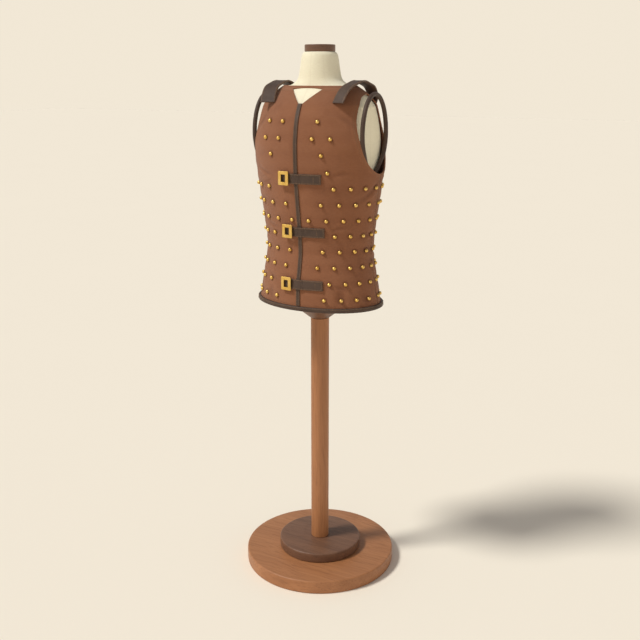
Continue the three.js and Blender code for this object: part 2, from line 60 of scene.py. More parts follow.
# The vest's outer surface, as in the solids: upright ellipses from the hem to the neckline
HEM_Z = 836
NECK_BAND_Z = 1435
NECKLINE_Z = 1443
NECK_BAND_ARCH = 3.8
VEST_RINGS = [
    # height, half width, half depth
    (HEM_Z, 188.5, 130),
    (864, 181.4, 129.7),
    (911, 173, 127.9),
    (956, 166, 119.5),
    (1000, 161, 113.5),
    (1087, 170.2, 122.5),
    (1131, 176.7, 129),
    (1174, 182.6, 134.6),
    (1218, 189.5, 139),
    (1262, 194.5, 141),
    (1293, 196.5, 141),
    (1324, 190.5, 137.5),
    (1353, 182, 131.5),
    (1378, 174.5, 121.5),
    (1397, 165, 111),
    (1428, 132, 82),
    (NECKLINE_Z, 109, 64),
]
CLOTH_WALL = 3
SEAM_GAP = 0.3
ARMHOLE = {"z": 1316, "half_depth": 80.5, "half_height": 105.5}
ARMHOLE_CUT = {"planes": 48, "near": 1.35, "gone": 0.995}
NECK_OPENING = {"bottom_z": 1397, "bottom_half": 6.5, "top_half": 46.5}
NECK_SLOPE = ((NECK_OPENING["top_half"] - NECK_OPENING["bottom_half"])
              / (NECK_BAND_Z - NECK_OPENING["bottom_z"]))
NECK_CUT = {"from_z": 1385, "within_x": 20}

# Rivets
RIVET_RADIUS = 5.6
RIVET_HEIGHT = 7
RIVET_RIM_HEIGHT = 1.2
RIVET_FOOT = [(RIVET_RADIUS, 0.2), (RIVET_RADIUS - 1.2, -1.5)]
RIVET_SEAM_ANGLE = 4
RIVET_STRAP_CLEARANCE = {"x": 78, "z": 30}
RIVET_RINGS = [
    # height, first angle, count, clear distance from the middle of the front
    (1175, 0.8, 22, 20),
    (1131, 13.6, 21, 20),
    (1087, 1.5, 21, 20),
    (1044, 10.2, 21, 20),
    (1000, 5.6, 20, 20),
    (956, 9.8, 21, 20),
    (912, 14.2, 22, 20),
    (867, 8.4, 22, 32),
]
CHEST_RIVETS = [
    # height, angles from the middle of the front, angles from the middle of the back
    (1351, [-30, -13.6, 19], [-27, -9, 9, 27]),
    (1307, [-32, -16, 14.4, 29.4], [-36, -18, 0, 18, 36]),
    (1264, [-25, 22], [-27, -9, 9, 27]),
    (1218, [27.7], [-36, -18, 0, 18, 36]),
]

# Relief of the cloth: creases listed one by one, dimples at the rivets, soft pillows between their rings
# and the turned edges at the side seams and armholes
PANEL_STEP = {"angle": 0.95, "z": 3.0}
DEGREE_LENGTH = 2.85
SEAM_DEGREE_LENGTH = 2.2
CREASE_LIP = 0.4
CREASE_BOW = 0.045
CREASES = [
    # start angle, start height, end angle, end height, half width, depth
    (-112, 1012, -62, 996, 7.5, 2.9),
    (-104, 978, -72, 967, 6.5, 2.3),
    (-97, 1040, -60, 1027, 6.0, 1.7),
    (66, 1003, 118, 988, 7.5, 3.0),
    (60, 1036, 98, 1044, 6.0, 1.8),
    (80, 972, 112, 964, 6.0, 2.2),
    (-88, 1196, -54, 1148, 7.5, 2.0),
    (-96, 1198, -128, 1150, 7.5, 2.1),
    (88, 1192, 60, 1140, 7.5, 2.2),
    (97, 1196, 130, 1158, 7.0, 1.7),
    (38, 1368, 56, 1326, 7.0, 1.6),
    (-37, 1370, -57, 1322, 7.0, 1.7),
    (-24, 1206, -48, 1226, 5.0, 1.4),
    (-24, 1197, -46, 1178, 5.0, 1.1),
    (29, 1206, 50, 1219, 5.0, 1.1),
    (-25, 1060, -46, 1074, 5.0, 1.4),
    (-25, 1051, -44, 1034, 4.5, 1.2),
    (31, 1060, 50, 1070, 5.0, 1.3),
    (-25, 914, -43, 930, 5.0, 1.3),
    (31, 906, 52, 892, 5.0, 1.2),
    (-62, 846, -58, 912, 12, 2.3),
    (-31, 846, -34, 892, 11, 1.6),
    (40, 846, 43, 905, 12, 2.2),
    (72, 846, 68, 886, 11, 1.8),
    (104, 846, 108, 922, 12, 2.3),
    (141, 846, 138, 896, 11, 1.7),
    (176, 846, 180, 930, 13, 2.3),
    (214, 846, 210, 890, 11, 1.7),
    (248, 846, 252, 915, 12, 2.2),
    (146, 1012, 204, 1002, 8.0, 2.9),
    (166, 984, 218, 975, 7.0, 2.3),
    (126, 1042, 160, 1032, 6.5, 1.8),
    (200, 1044, 236, 1031, 6.5, 2.0),
    (134, 1330, 150, 1246, 9.0, 1.7),
    (227, 1332, 212, 1240, 9.0, 1.8),
    (162, 1404, 197, 1399, 6.0, 1.3),
]
DIMPLE = {"depth": 0.9, "radius": 8.5}
PILLOW = {"height": 0.8, "pitch": 44, "from_z": 865, "mean": 0.7, "swing": 0.3, "waves": 7, "lean": 0.05}
RIPPLE = {"height": 0.3, "waves": 11, "lean": 0.021, "rise": 0.034, "start": 1.3}
TURNED_EDGE = {"width": 9, "fade": 3, "height": 0.5, "stitch": 5.5}
SEAM_DIP = {"width": 2.2, "depth": 0.9}
FREE_CLOTH = {
    # where the relief starts, clear of the leather sewn over it, and how far it takes to reach full height
    "hem_z": 848, "hem_fade": 14, "neck_z": 1428, "neck_fade": 16, "armhole": 9, "armhole_fade": 14,
    "placket": 9, "strap_start": 8, "strap_end": 3, "strap_edge": 6, "shoulder_x": 108, "shoulder_half": 30,
    "shoulder_z": 1372, "fade": 10,
}
WORN = {"rubbed": 0.55, "raised": 0.35, "raised_by": 1.2, "edge": 0.25, "armhole_fade": 3, "neck_fade": 4}
# Painted shade: how much the cloth is darkened round the rivets' feet, in the side seams' dips and in the
# creases' troughs
PAINTED_SHADE = {"rivet": 0.55, "rivet_width": 3.2, "crease": 0.5, "crease_depth": 1.6, "seam": 0.6}

STITCH = {"pitch": 4.6, "length": 3.4, "radius": 0.55, "rise": 0.45, "sink": 0.75,
          "stations": (-1, -0.5, 0, 0.5, 1), "sides": 6, "taper": 0.35}
STITCH_INSET = {"hem": 3.2, "placket": 1.9, "strap": 2.6, "strap_end": 3, "throat": 4.5, "neck": 4.5,
                "shoulder": 3}

# Front closing
PLACKET = {"width": 11.5, "thickness": 2.4, "top_z": 1396, "bottom_z": 847}
STRAP_HEIGHTS = [1201, 1053.8, 907.2]
STRAP = {"from_x": -47, "to_x": 71.5, "height": 27, "thickness": 4.2}
STRAP_HUMP = {"half_top": 7.5, "left_foot": 16, "right_foot": 18}
BUCKLE = {"x": -35, "width": 34, "height": 37.5, "side_bar": 10.2, "end_bar": 8.8, "thickness": 4.6,
          "corner": 2.4, "hole_corner": 1.2, "squareness": 0.4}
HEM_TRIM = {"bottom_z": 832, "top_z": 845, "outside": 6, "inside": 6}

# Rolls in the armholes and straps over the shoulders
ROLL = {"x": 167, "z": 1316, "half_depth": 75.5, "rise": 105, "drop": 113, "radius": 6.2}
ROLL_TUCK = {"inward": 3, "start_z": 1270, "end_z": 1225, "taper": 1.56}
SHOULDER_STRAP = {"width": 40, "thickness": 4, "end_gap": 0.8}
STRAP_END_HEIGHTS = [1391, 1380]
STRAP_BACK_END_X = [119, 118]
STRAP_ARCH = [
    # x, y, z, turn of the width from the X axis
    (107.5, -100, 1398, -19),
    (111.5, -85.5, 1419.5, -19),
    (115.5, -65.5, 1436.3, -17),
    (118, -40, 1444.8, -14),
    (120, 0, 1452.6, -12),
    (121, 33, 1446, -11),
    (122, 59.5, 1437.8, -12),
    (122.5, 75, 1421, -16),
    (121, 82.5, 1407.5, -22),
]

# Dress form: ellipses up to the ribs and at the neck, and between them the vest's own form from inside,
# with flattened sides behind the armholes
FORM_CLEARANCE = {"chest": 2.4, "shoulder": 0.5, "shoulder_z": 1400}
FORM_SIDE = {"half_width": 156, "sharpness": 20}
FORM_BODY = [
    # height, half width, half depth
    (828, 150, 103),
    (835, 158, 110),
    (911, 151, 109),
    (1000, 147, 104),
    (1087, 148, 108),
]
FORM_RIBS = [
    # height, half width, half depth, share of the way to the vest's form
    (1131, 150, 111, 0.3),
    (1174, 152, 115, 0.7),
    (1218, 153, 119, 0.95),
]
FORM_NECK = [
    (1444, 86, 58),
    (1451, 72.5, 56.3),
    (1458, 64.5, 55.3),
    (1467, 60, 54.5),
    (1477, 57.3, 54.1),
    (1488, 55.3, 53.5),
    (1500, 53.3, 52.4),
    (1511, 51.6, 51.3),
    (1520, 49.8, 49.8),
    (1526, 47.5, 47.5),
    (1531, 43, 43),
]

FORM_SEAM = {"angles": [0, 38, 90, 142, 180, 218, 270, 322], "width": 0.7, "depth": 0.7, "degree_length": 2.2}

# Stand
TOTAL_HEIGHT = 1550
CAP_RADIUS = 42
POLE = {"radius": 27, "top_z": 783}
SOCKET = {"rim_radius": 79, "rim_z": 824, "waist_radius": 51, "waist_z": 801, "foot_radius": 28.5}
BASE_DISC = {"radius": 228, "top_z": 40.6}
BASE_COLLAR = {"radius": 125, "top_z": 71}
FLOOR_HALF = 30000

# Surface colours, as linear light
CLOTH_THREAD = 0.0016
LINEN_THREAD = 0.0011
CLOTH_COLOURS = {
    "body": (0.285, 0.112, 0.051),
    "deep": (0.235, 0.090, 0.042),
    "faded": (0.350, 0.158, 0.082),
    # Painted shade: near black, for the hollows between the threads and for the creases, seam dips and rivet
    # feet
    "gap": (0.120, 0.045, 0.024),
}
LEATHER_COLOURS = {
    "body": (0.089, 0.050, 0.033),
    "deep": (0.058, 0.033, 0.022),
    "worn": (0.160, 0.092, 0.056),
}
# Brass: its darkest colour is painted shade, for the rivets' feet and the buckles' backs and hole walls
BRASS_COLOURS = {"body": (0.76, 0.47, 0.11), "bright": (0.88, 0.60, 0.19), "painted_shade_brass": (0.22, 0.11, 0.030)}
THREAD_COLOURS = {"body": (0.34, 0.20, 0.10), "deep": (0.20, 0.11, 0.06)}
LINEN_COLOURS = {"body": (0.95, 0.875, 0.66), "pale": (0.97, 0.91, 0.71), "slub": (0.82, 0.73, 0.54)}
WOOD_COLOURS = {
    "body": (0.425, 0.180, 0.072),
    "deep": (0.342, 0.137, 0.052),
    "pore": (0.205, 0.082, 0.036),
    "worn": (0.510, 0.245, 0.112),
}
DARK_WOOD_COLOURS = {
    "body": (0.192, 0.091, 0.049),
    "deep": (0.138, 0.064, 0.036),
    "pore": (0.070, 0.035, 0.021),
    "worn": (0.240, 0.130, 0.080),
}


# Meshes

def make_object(name, points, faces):
    mesh = bpy.data.meshes.new(name)
    mesh.from_pydata([Vector(point) * MM for point in points], [], faces)
    mesh.shade_smooth()
    made = bpy.data.objects.new(name, mesh)
    bpy.context.scene.collection.objects.link(made)
    return made


def mark(made, name, values):
    """Stores a value from 0 to 1 at each point, which the materials read."""
    layer = made.data.attributes.new(name, "FLOAT", "POINT")
    layer.data.foreach_set("value", [min(max(float(value), 0), 1) for value in values])
    return made


def lay_grain(made, places, period=None):
    """Gives each point its place on the cloth's grain. A closed ring's grain repeats with its period."""
    layer = made.data.uv_layers.new(name="grain")
    for polygon in made.data.polygons:
        corners = [places[index] for index in polygon.vertices]
        far = max(corner[0] for corner in corners)
        for loop, (along, up) in zip(polygon.loop_indices, corners):
            if period and far - along > period / 2:
                along += period
            layer.data[loop].uv = (along * MM, up * MM)
    return made


def round_edges(made, width, angle=50):
    bevel = made.modifiers.new("edges", "BEVEL")
    bevel.width = width * MM
    bevel.segments = 2
    bevel.limit_method = "ANGLE"
    bevel.angle_limit = math.radians(angle)
    bevel.harden_normals = True
    return made


def dress(made, material, slot, nodes=()):
    made.data.materials.append(material)
    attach(made, "root")
    if nodes:
        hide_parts(*nodes)
    return made


def grid_faces(rows, columns, first=0, closed_rows=False, closed_columns=False, flip=False):
    """Quads over a grid of points stored row by row."""
    faces = []
    for row in range(rows if closed_rows else rows - 1):
        for column in range(columns if closed_columns else columns - 1):
            next_row = (row + 1) % rows
            next_column = (column + 1) % columns
            quad = [
                first + row * columns + column,
                first + row * columns + next_column,
                first + next_row * columns + next_column,
                first + next_row * columns + column,
            ]
            faces.append(quad[::-1] if flip else quad)
    return faces


def eased(values):
    """A soft step from 0 to 1, of one value or an array."""
    share = np.clip(values, 0, 1)
    return share * share * (3 - 2 * share)


def turn_between(angles, other):
    """Degrees from one angle to others, the short way round."""
    return (angles - other + 180) % 360 - 180


def catmull_rom(points, share):
    at = share * (len(points) - 1)
    index = min(int(at), len(points) - 2)
    t = at - index
    p0 = points[index - 1] if index else points[0] * 2 - points[1]
    p1, p2 = points[index], points[index + 1]
    p3 = points[index + 2] if index + 2 < len(points) else p2 * 2 - p1
    return 0.5 * (2 * p1 + (p2 - p0) * t + (2 * p0 - 5 * p1 + 4 * p2 - p3) * t**2
                  + (3 * p1 - p0 - 3 * p2 + p3) * t**3)


# The vest's skin

@lru_cache(maxsize=None)
def ring_sizes(z):
    """Half width and half depth of the skin at a height, on a smooth curve through the rings."""
    rings = VEST_RINGS
    level = 0
    while level < len(rings) - 2 and rings[level + 1][0] < z:
        level += 1
    before, low, high, after = (
        rings[max(level - 1, 0)], rings[level], rings[level + 1], rings[min(level + 2, len(rings) - 1)])
    span = high[0] - low[0]
    share = (z - low[0]) / span
    sizes = []
    for column in (1, 2):
        low_slope = (high[column] - before[column]) / (high[0] - before[0]) * span
        high_slope = (after[column] - low[column]) / (after[0] - low[0]) * span
        a, b = low[column], high[column]
        sizes.append(
            (2 * share**3 - 3 * share**2 + 1) * a
            + (share**3 - 2 * share**2 + share) * low_slope
            + (3 * share**2 - 2 * share**3) * b
            + (share**3 - share**2) * high_slope)
    return sizes


def ellipse_point(half_width, half_depth, angle, z):
    turn = math.radians(angle)
    return Vector((half_width * math.sin(turn), -half_depth * math.cos(turn), z))


def skin_bare(angle, z):
    return ellipse_point(*ring_sizes(z), angle, z)


def skin_normal(angle, z):
    """The outward direction, from points of the skin close by."""
    around = skin_bare(angle + 0.25, z) - skin_bare(angle - 0.25, z)
    low, high = max(z - 1.5, HEM_Z), min(z + 1.5, NECKLINE_Z)
    up = skin_bare(angle, high) - skin_bare(angle, low)
    return around.cross(up).normalized()


def skin_point(angle, z, offset=0.0):
    """A point of the skin, moved out. Below the hem and above the neckline it goes straight on."""
    held = min(max(z, HEM_Z), NECKLINE_Z)
    point = skin_bare(angle, held) + skin_normal(angle, held) * offset
    return point + Vector((0, 0, z - held))


def angle_at_x(x, z):
    half_width, _ = ring_sizes(z)
    return math.degrees(math.asin(max(-1, min(1, x / half_width))))


# Materials

def feed(tree, socket, value):
    """Links a node's output to a socket, or sets the socket to a value."""
    if isinstance(value, bpy.types.NodeSocket):
        tree.links.new(value, socket)
    else:
        socket.default_value = value


def add_node(tree, kind, inputs=None, **settings):
    """A node with its settings, and with values or links on its inputs."""
    made = tree.nodes.new(kind)
    for name, value in settings.items():
        setattr(made, name, value)
    for name, value in (inputs or {}).items():
        feed(tree, made.inputs[name], value)
    return made


def mix_colours(tree, factor, first, second):
    made = tree.nodes.new("ShaderNodeMix")
    made.data_type = "RGBA"
    for index, value in ((0, factor), (6, first), (7, second)):
        feed(tree, made.inputs[index], (*value, 1) if isinstance(value, tuple) else value)
    return made.outputs[2]


def calculate(tree, operation, *values):
    made = tree.nodes.new("ShaderNodeMath")
    made.operation = operation
    for socket, value in zip(made.inputs, values):
        feed(tree, socket, value)
    return made.outputs[0]


def rescale(tree, value, low, high, new_low=0, new_high=1):
    return add_node(tree, "ShaderNodeMapRange", {
        "Value": value, "From Min": low, "From Max": high, "To Min": new_low, "To Max": new_high}).outputs[0]


def place(tree):
    """The point in the row frame, in metres."""
    return add_node(tree, "ShaderNodeTexCoord").outputs["Object"]


def noise(tree, vector, scale, detail, roughness=0.55, distortion=0.0):
    return add_node(tree, "ShaderNodeTexNoise", {
        "Vector": vector, "Scale": scale, "Detail": detail, "Roughness": roughness,
        "Distortion": distortion}).outputs["Fac"]


def stretched(tree, vector, scale):
    return add_node(tree, "ShaderNodeMapping", {"Vector": vector, "Scale": scale}).outputs[0]


def marked(tree, name, amount):
    """A value from 0 to 1 that the mesh carries at its points, times an amount."""
    value = add_node(tree, "ShaderNodeAttribute", attribute_name=name).outputs["Fac"]
    return calculate(tree, "MULTIPLY", value, amount)


def start_material(name, **settings):
    """A material, its tree and its shader, with the constant settings put on the shader's own sockets."""
    material = bpy.data.materials.new(name)
    material.use_nodes = True
    tree = material.node_tree
    shader = tree.nodes["Principled BSDF"]
    for setting, value in settings.items():
        shader.inputs[setting.replace("_", " ")].default_value = value
    return material, tree, shader


def raise_surface(tree, shader, height, distance, strength):
    bump = add_node(tree, "ShaderNodeBump", {"Height": height, "Distance": distance, "Strength": strength})
    tree.links.new(bump.outputs[0], shader.inputs["Normal"])


def make_floor_material():
    material, tree, shader = start_material("floor", Roughness=1.0, Specular_IOR_Level=0.0)
    grain = noise(tree, place(tree), 1.2, 2.0)
    light = tuple(min(part * 1.006, 1) for part in FLOOR)
    dark = tuple(part * 0.994 for part in FLOOR)
    tree.links.new(mix_colours(tree, grain, dark, light), shader.inputs["Base Color"])
    return material


def woven(tree, thread):
    """Height of a twill weave along the cloth's own grain, with threads of that spacing in metres."""
    along = add_node(tree, "ShaderNodeSeparateXYZ", {
        "Vector": add_node(tree, "ShaderNodeUVMap", uv_map="grain").outputs[0]})
    turn = math.tau / thread
    warp = calculate(tree, "SINE", calculate(tree, "MULTIPLY", along.outputs["X"], turn))
    weft = calculate(tree, "SINE", calculate(tree, "MULTIPLY", along.outputs["Y"], turn))
    both = calculate(tree, "ADD", along.outputs["X"], along.outputs["Y"])
    rib = calculate(tree, "SINE", calculate(tree, "MULTIPLY", both, turn / 2))
    crossed = calculate(tree, "MULTIPLY", warp, weft)
    return calculate(tree, "ADD", calculate(tree, "MULTIPLY", crossed, 0.5), rib)


def make_cloth_material():
    material, tree, shader = start_material(
        "vest_cloth", Roughness=0.88, Sheen_Weight=0.12, Sheen_Roughness=0.5, Specular_IOR_Level=0.25)
    here = place(tree)
    weave = woven(tree, CLOTH_THREAD)
    mottle = rescale(tree, noise(tree, here, 9.0, 4.0, 0.6), 0.3, 0.7)
    colour = mix_colours(tree, mottle, CLOTH_COLOURS["deep"], CLOTH_COLOURS["body"])
    streak = noise(tree, stretched(tree, here, (30.0, 30.0, 240.0)), 3.0, 3.0, 0.6)
    colour = mix_colours(tree, rescale(tree, streak, 0.35, 0.75, 0, 0.35), colour, CLOTH_COLOURS["faded"])
    # Painted shade between the threads: darker where the weave is low
    colour = mix_colours(tree, rescale(tree, weave, -1.4, 1.4, 0.16, 0), colour, CLOTH_COLOURS["gap"])
    colour = mix_colours(tree, marked(tree, "worn", 0.65), colour, CLOTH_COLOURS["faded"])
    # Painted shade from the mesh's mark: round the rivets, in the seam dips and in the creases
    colour = mix_colours(tree, marked(tree, "painted_shade", 0.55), colour, CLOTH_COLOURS["gap"])
    tree.links.new(colour, shader.inputs["Base Color"])
    fuzz = noise(tree, here, 900.0, 2.0)
    height = calculate(tree, "ADD", calculate(tree, "MULTIPLY", weave, 0.35), fuzz)
    raise_surface(tree, shader, height, 0.00045, 0.8)
    return material


def make_leather_material():
    material, tree, shader = start_material("dark_leather", Specular_IOR_Level=0.4)
    here = place(tree)
    cells = add_node(tree, "ShaderNodeTexVoronoi", {"Vector": here, "Scale": 620.0, "Randomness": 0.9},
                     feature="DISTANCE_TO_EDGE").outputs["Distance"]
    pores = rescale(tree, cells, 0.0, 0.18)
    mottle = noise(tree, here, 26.0, 4.0, 0.6)
    shade = rescale(tree, mottle, 0.3, 0.7)
    colour = mix_colours(tree, shade, LEATHER_COLOURS["deep"], LEATHER_COLOURS["body"])
    colour = mix_colours(tree, rescale(tree, pores, 0, 1, 0.45, 0), colour, LEATHER_COLOURS["deep"])
    patches = rescale(tree, noise(tree, here, 90.0, 4.0), 0.35, 0.65, 0.25, 1)
    colour = mix_colours(tree, marked(tree, "worn", patches), colour, LEATHER_COLOURS["worn"])
    tree.links.new(colour, shader.inputs["Base Color"])
    tree.links.new(rescale(tree, mottle, 0.3, 0.7, 0.62, 0.44), shader.inputs["Roughness"])
    folds = noise(tree, here, 130.0, 3.0, 0.6, 0.6)
    height = calculate(tree, "ADD", calculate(tree, "MULTIPLY", pores, 0.6), folds)
    raise_surface(tree, shader, height, 0.0004, 0.7)
    return material


def make_brass_material():
    material, tree, shader = start_material("brass", Metallic=1.0)
    here = place(tree)
    mottle = rescale(tree, noise(tree, here, 55.0, 3.0), 0.35, 0.65)
    colour = mix_colours(tree, mottle, BRASS_COLOURS["body"], BRASS_COLOURS["bright"])
    # Painted shade at the rivets' feet and on the buckles' backs and hole walls
    colour = mix_colours(tree, marked(tree, "painted_shade", 0.8), colour, BRASS_COLOURS["painted_shade_brass"])
    tree.links.new(colour, shader.inputs["Base Color"])
    rubbing = rescale(tree, noise(tree, here, 240.0, 3.0), 0.3, 0.7, 0.33, 0.50)
    tree.links.new(rubbing, shader.inputs["Roughness"])
    raise_surface(tree, shader, noise(tree, here, 420.0, 2.0), 0.0002, 0.5)
    return material


def make_thread_material():
    material, tree, shader = start_material("waxed_thread", Roughness=0.7, Specular_IOR_Level=0.3)
    twist = noise(tree, stretched(tree, place(tree), (900.0, 900.0, 900.0)), 1.0, 2.0)
    colour = mix_colours(tree, twist, THREAD_COLOURS["deep"], THREAD_COLOURS["body"])
    tree.links.new(colour, shader.inputs["Base Color"])
    return material


def make_linen_material():
    material, tree, shader = start_material(
        "form_linen", Roughness=0.9, Sheen_Weight=0.08, Specular_IOR_Level=0.25)
    here = place(tree)
    weave = woven(tree, LINEN_THREAD)
    slub = noise(tree, stretched(tree, here, (40.0, 40.0, 320.0)), 3.0, 3.0, 0.6)
    mottle = rescale(tree, noise(tree, here, 7.0, 3.0), 0.3, 0.7)
    colour = mix_colours(tree, mottle, LINEN_COLOURS["body"], LINEN_COLOURS["pale"])
    colour = mix_colours(tree, rescale(tree, slub, 0.4, 0.75, 0, 0.5), colour, LINEN_COLOURS["slub"])
    # Painted shade from the mesh's mark, along the cover seams' grooves
    colour = mix_colours(tree, marked(tree, "painted_shade", 0.6), colour, LINEN_COLOURS["slub"])
    tree.links.new(colour, shader.inputs["Base Color"])
    raise_surface(tree, shader, weave, 0.00022, 0.6)
    return material


def make_wood_material(name, colours, grain_scale, gloss):
    material, tree, shader = start_material(
        name, Specular_IOR_Level=0.45, Coat_Weight=0.06, Coat_Roughness=0.35)
    here = place(tree)
    bend = noise(tree, here, 5.0, 2.0)
    along = add_node(tree, "ShaderNodeVectorMath", {0: stretched(tree, here, grain_scale)}, operation="ADD")
    lift = add_node(tree, "ShaderNodeCombineXYZ", {"X": bend, "Y": bend})
    tree.links.new(lift.outputs[0], along.inputs[1])
    figure = noise(tree, along.outputs[0], 1.0, 5.0, 0.62, 0.4)
    fine = noise(tree, along.outputs[0], 6.0, 4.0, 0.7)
    colour = mix_colours(tree, rescale(tree, figure, 0.32, 0.68), colours["deep"], colours["body"])
    colour = mix_colours(tree, rescale(tree, fine, 0.5, 0.72, 0, 0.6), colour, colours["pore"])
    colour = mix_colours(tree, marked(tree, "worn", 0.6), colour, colours["worn"])
    tree.links.new(colour, shader.inputs["Base Color"])
    tree.links.new(rescale(tree, fine, 0.4, 0.7, gloss, gloss + 0.16), shader.inputs["Roughness"])
    raise_surface(tree, shader, calculate(tree, "SUBTRACT", 1.0, fine), 0.0003, 0.6)
    return material


CLOTH = make_cloth_material()
LEATHER = make_leather_material()
BRASS = make_brass_material()
THREAD = make_thread_material()
LINEN = make_linen_material()
POLE_WOOD = make_wood_material("pole_wood", WOOD_COLOURS, (55.0, 55.0, 2.2), 0.42)
DISC_WOOD = make_wood_material("disc_wood", WOOD_COLOURS, (2.6, 34.0, 34.0), 0.42)
DARK_WOOD = make_wood_material("dark_wood", DARK_WOOD_COLOURS, (3.2, 44.0, 44.0), 0.4)


# Rivet places, as angles and heights

def rivet_places():
    places = []
    for z, first, count, clear in RIVET_RINGS:
        for index in range(count):
            angle = -180 + first + index * 360 / count
            x = skin_point(angle, z).x
            if abs(angle) <= 90:
                near_strap = any(abs(z - height) <= RIVET_STRAP_CLEARANCE["z"]
                                 and abs(x) <= RIVET_STRAP_CLEARANCE["x"] for height in STRAP_HEIGHTS)
                if near_strap or abs(x) <= clear:
                    continue
            places.append((angle, z))
    for z, front, back in CHEST_RIVETS:
        places += [(angle, z) for angle in front]
        places += [(angle + 180 if angle < 0 else angle - 180, z) for angle in back]
    nudged = []
    for angle, z in places:
        past = abs(angle) - 90
        if abs(past) < RIVET_SEAM_ANGLE:
            angle = math.copysign(90 + (-RIVET_SEAM_ANGLE if past < 0 else RIVET_SEAM_ANGLE), angle)
        nudged.append((angle, z))
    return nudged


ALL_RIVETS = rivet_places()


# Relief of the cloth

def edge_distance(places):
    """Distance of points from the nearest armhole edge, about."""
    across = places[:, 1] / ARMHOLE["half_depth"]
    up = (places[:, 2] - ARMHOLE["z"]) / ARMHOLE["half_height"]
    reach = np.sqrt(across**2 + up**2)
    return (reach - 1) * np.where(reach > 0, np.hypot(places[:, 1], places[:, 2] - ARMHOLE["z"]) / reach, 0)


def free_share(places):
    """1 where the cloth hangs free, falling to 0 where leather is sewn over it."""
    x, y, z = places.T
    edge = FREE_CLOTH
    free = (eased((z - edge["hem_z"]) / edge["hem_fade"]) * eased((edge["neck_z"] - z) / edge["neck_fade"])
            * eased((edge_distance(places) - edge["armhole"]) / edge["armhole_fade"]))
    front = y < 0
    free = np.where(front, free * eased((np.abs(x) - edge["placket"]) / edge["fade"]), free)
    for height in STRAP_HEIGHTS:
        past_end = np.maximum(STRAP["from_x"] - edge["strap_start"] - x,
                              x - STRAP["to_x"] - edge["strap_end"])
        away = np.maximum(past_end, np.abs(z - height) - STRAP["height"] / 2 - edge["strap_edge"])
        free = np.where(front, free * eased(away / edge["fade"]), free)
    from_shoulder = np.abs(np.abs(x) - edge["shoulder_x"]) - edge["shoulder_half"]
    return free * eased(np.maximum(from_shoulder, edge["shoulder_z"] - z) / edge["fade"])


def creases_at(angles, heights):
    total = np.zeros_like(angles)
    for start_angle, start_z, end_angle, end_z, half_width, depth in CREASES:
        middle = (start_angle + end_angle) / 2
        start = (start_angle - middle) * DEGREE_LENGTH
        run_across, run_up = -2 * start, end_z - start_z
        length = math.hypot(run_across, run_up)
        across = turn_between(angles, middle) * DEGREE_LENGTH - start
        up = heights - start_z
        along = (across * run_across + up * run_up) / length**2
        off = (across * run_up - up * run_across) / length + CREASE_BOW * length * np.sin(math.pi * along)
        fade = np.sin(math.pi * np.clip((along + 0.15) / 1.3, 0, 1)) ** 1.5
        trough = np.exp(-(off / half_width) ** 2)
        lips = np.exp(-((np.abs(off) - 2 * half_width) / half_width) ** 2)
        total -= depth * (trough - CREASE_LIP * lips) * fade
    return total


def relief(angles, heights, places):
    """How far the cloth stands off its plain form, its worn share, and its share of painted shade round the
    rivets, in the seam dips and in the creases.
    """
    free = free_share(places)
    near_rivet = np.zeros_like(angles)
    shade_round_rivets = np.zeros_like(angles)
    for angle, z in ALL_RIVETS:
        away = np.linalg.norm(places - np.array(skin_point(angle, z)), axis=1)
        near_rivet = np.maximum(near_rivet, np.exp(-(away / DIMPLE["radius"]) ** 2))
        from_ring = (away - RIVET_RADIUS - 1) / PAINTED_SHADE["rivet_width"]
        shade_round_rivets = np.maximum(shade_round_rivets, np.exp(-from_ring**2))
    turns = np.radians(angles)
    wave = np.cos(math.tau * (heights - PILLOW["from_z"]) / PILLOW["pitch"])
    swell = PILLOW["mean"] + PILLOW["swing"] * np.sin(turns * PILLOW["waves"] + heights * PILLOW["lean"])
    pillow = PILLOW["height"] * (0.5 - 0.5 * wave) * swell
    creases = creases_at(angles, heights)
    ripple = (RIPPLE["height"] * np.sin(turns * RIPPLE["waves"] + heights * RIPPLE["lean"])
              * np.sin(heights * RIPPLE["rise"] + RIPPLE["start"]))
    from_seam = SEAM_DEGREE_LENGTH * np.minimum(
        np.abs(turn_between(angles, 90)), np.abs(turn_between(angles, -90)))
    from_hole = edge_distance(places)
    below_armhole = heights < ARMHOLE["z"]
    seam_band = 1 - eased((from_seam - TURNED_EDGE["width"]) / TURNED_EDGE["fade"])
    seam_band = np.where(below_armhole, seam_band, 0)
    hole_band = 1 - eased((from_hole - TURNED_EDGE["width"]) / TURNED_EDGE["fade"])
    band = np.maximum(seam_band, hole_band)
    seam_dip = np.where(below_armhole, np.exp(-(from_seam / SEAM_DIP["width"]) ** 2), 0)
    offset = (free * (pillow + creases + ripple) * (1 - 0.7 * near_rivet) - DIMPLE["depth"] * near_rivet
              + TURNED_EDGE["height"] * band - SEAM_DIP["depth"] * seam_dip)
    rubbed = (np.exp(-(from_hole / WORN["armhole_fade"]) ** 2)
              + np.exp(-((NECK_BAND_Z - heights) / WORN["neck_fade"]) ** 2))
    raised = np.clip(free * (pillow + creases) / WORN["raised_by"], 0, 1)
    worn = WORN["rubbed"] * rubbed + WORN["raised"] * raised + WORN["edge"] * band
    # Painted shade round the rivets' feet, in the seam dips and in the crease troughs
    painted_shade = (PAINTED_SHADE["rivet"] * shade_round_rivets + PAINTED_SHADE["seam"] * seam_dip
              + PAINTED_SHADE["crease"] * np.clip(-creases / PAINTED_SHADE["crease_depth"], 0, 1))
    return offset, worn, painted_shade


# Cloth panels

def armhole_reach(point):
    """How far out a point lies from the armhole's middle, squared: 1 is the armhole's edge."""
    across = point.y / ARMHOLE["half_depth"]
    up = (point.z - ARMHOLE["z"]) / ARMHOLE["half_height"]
    return across**2 + up**2


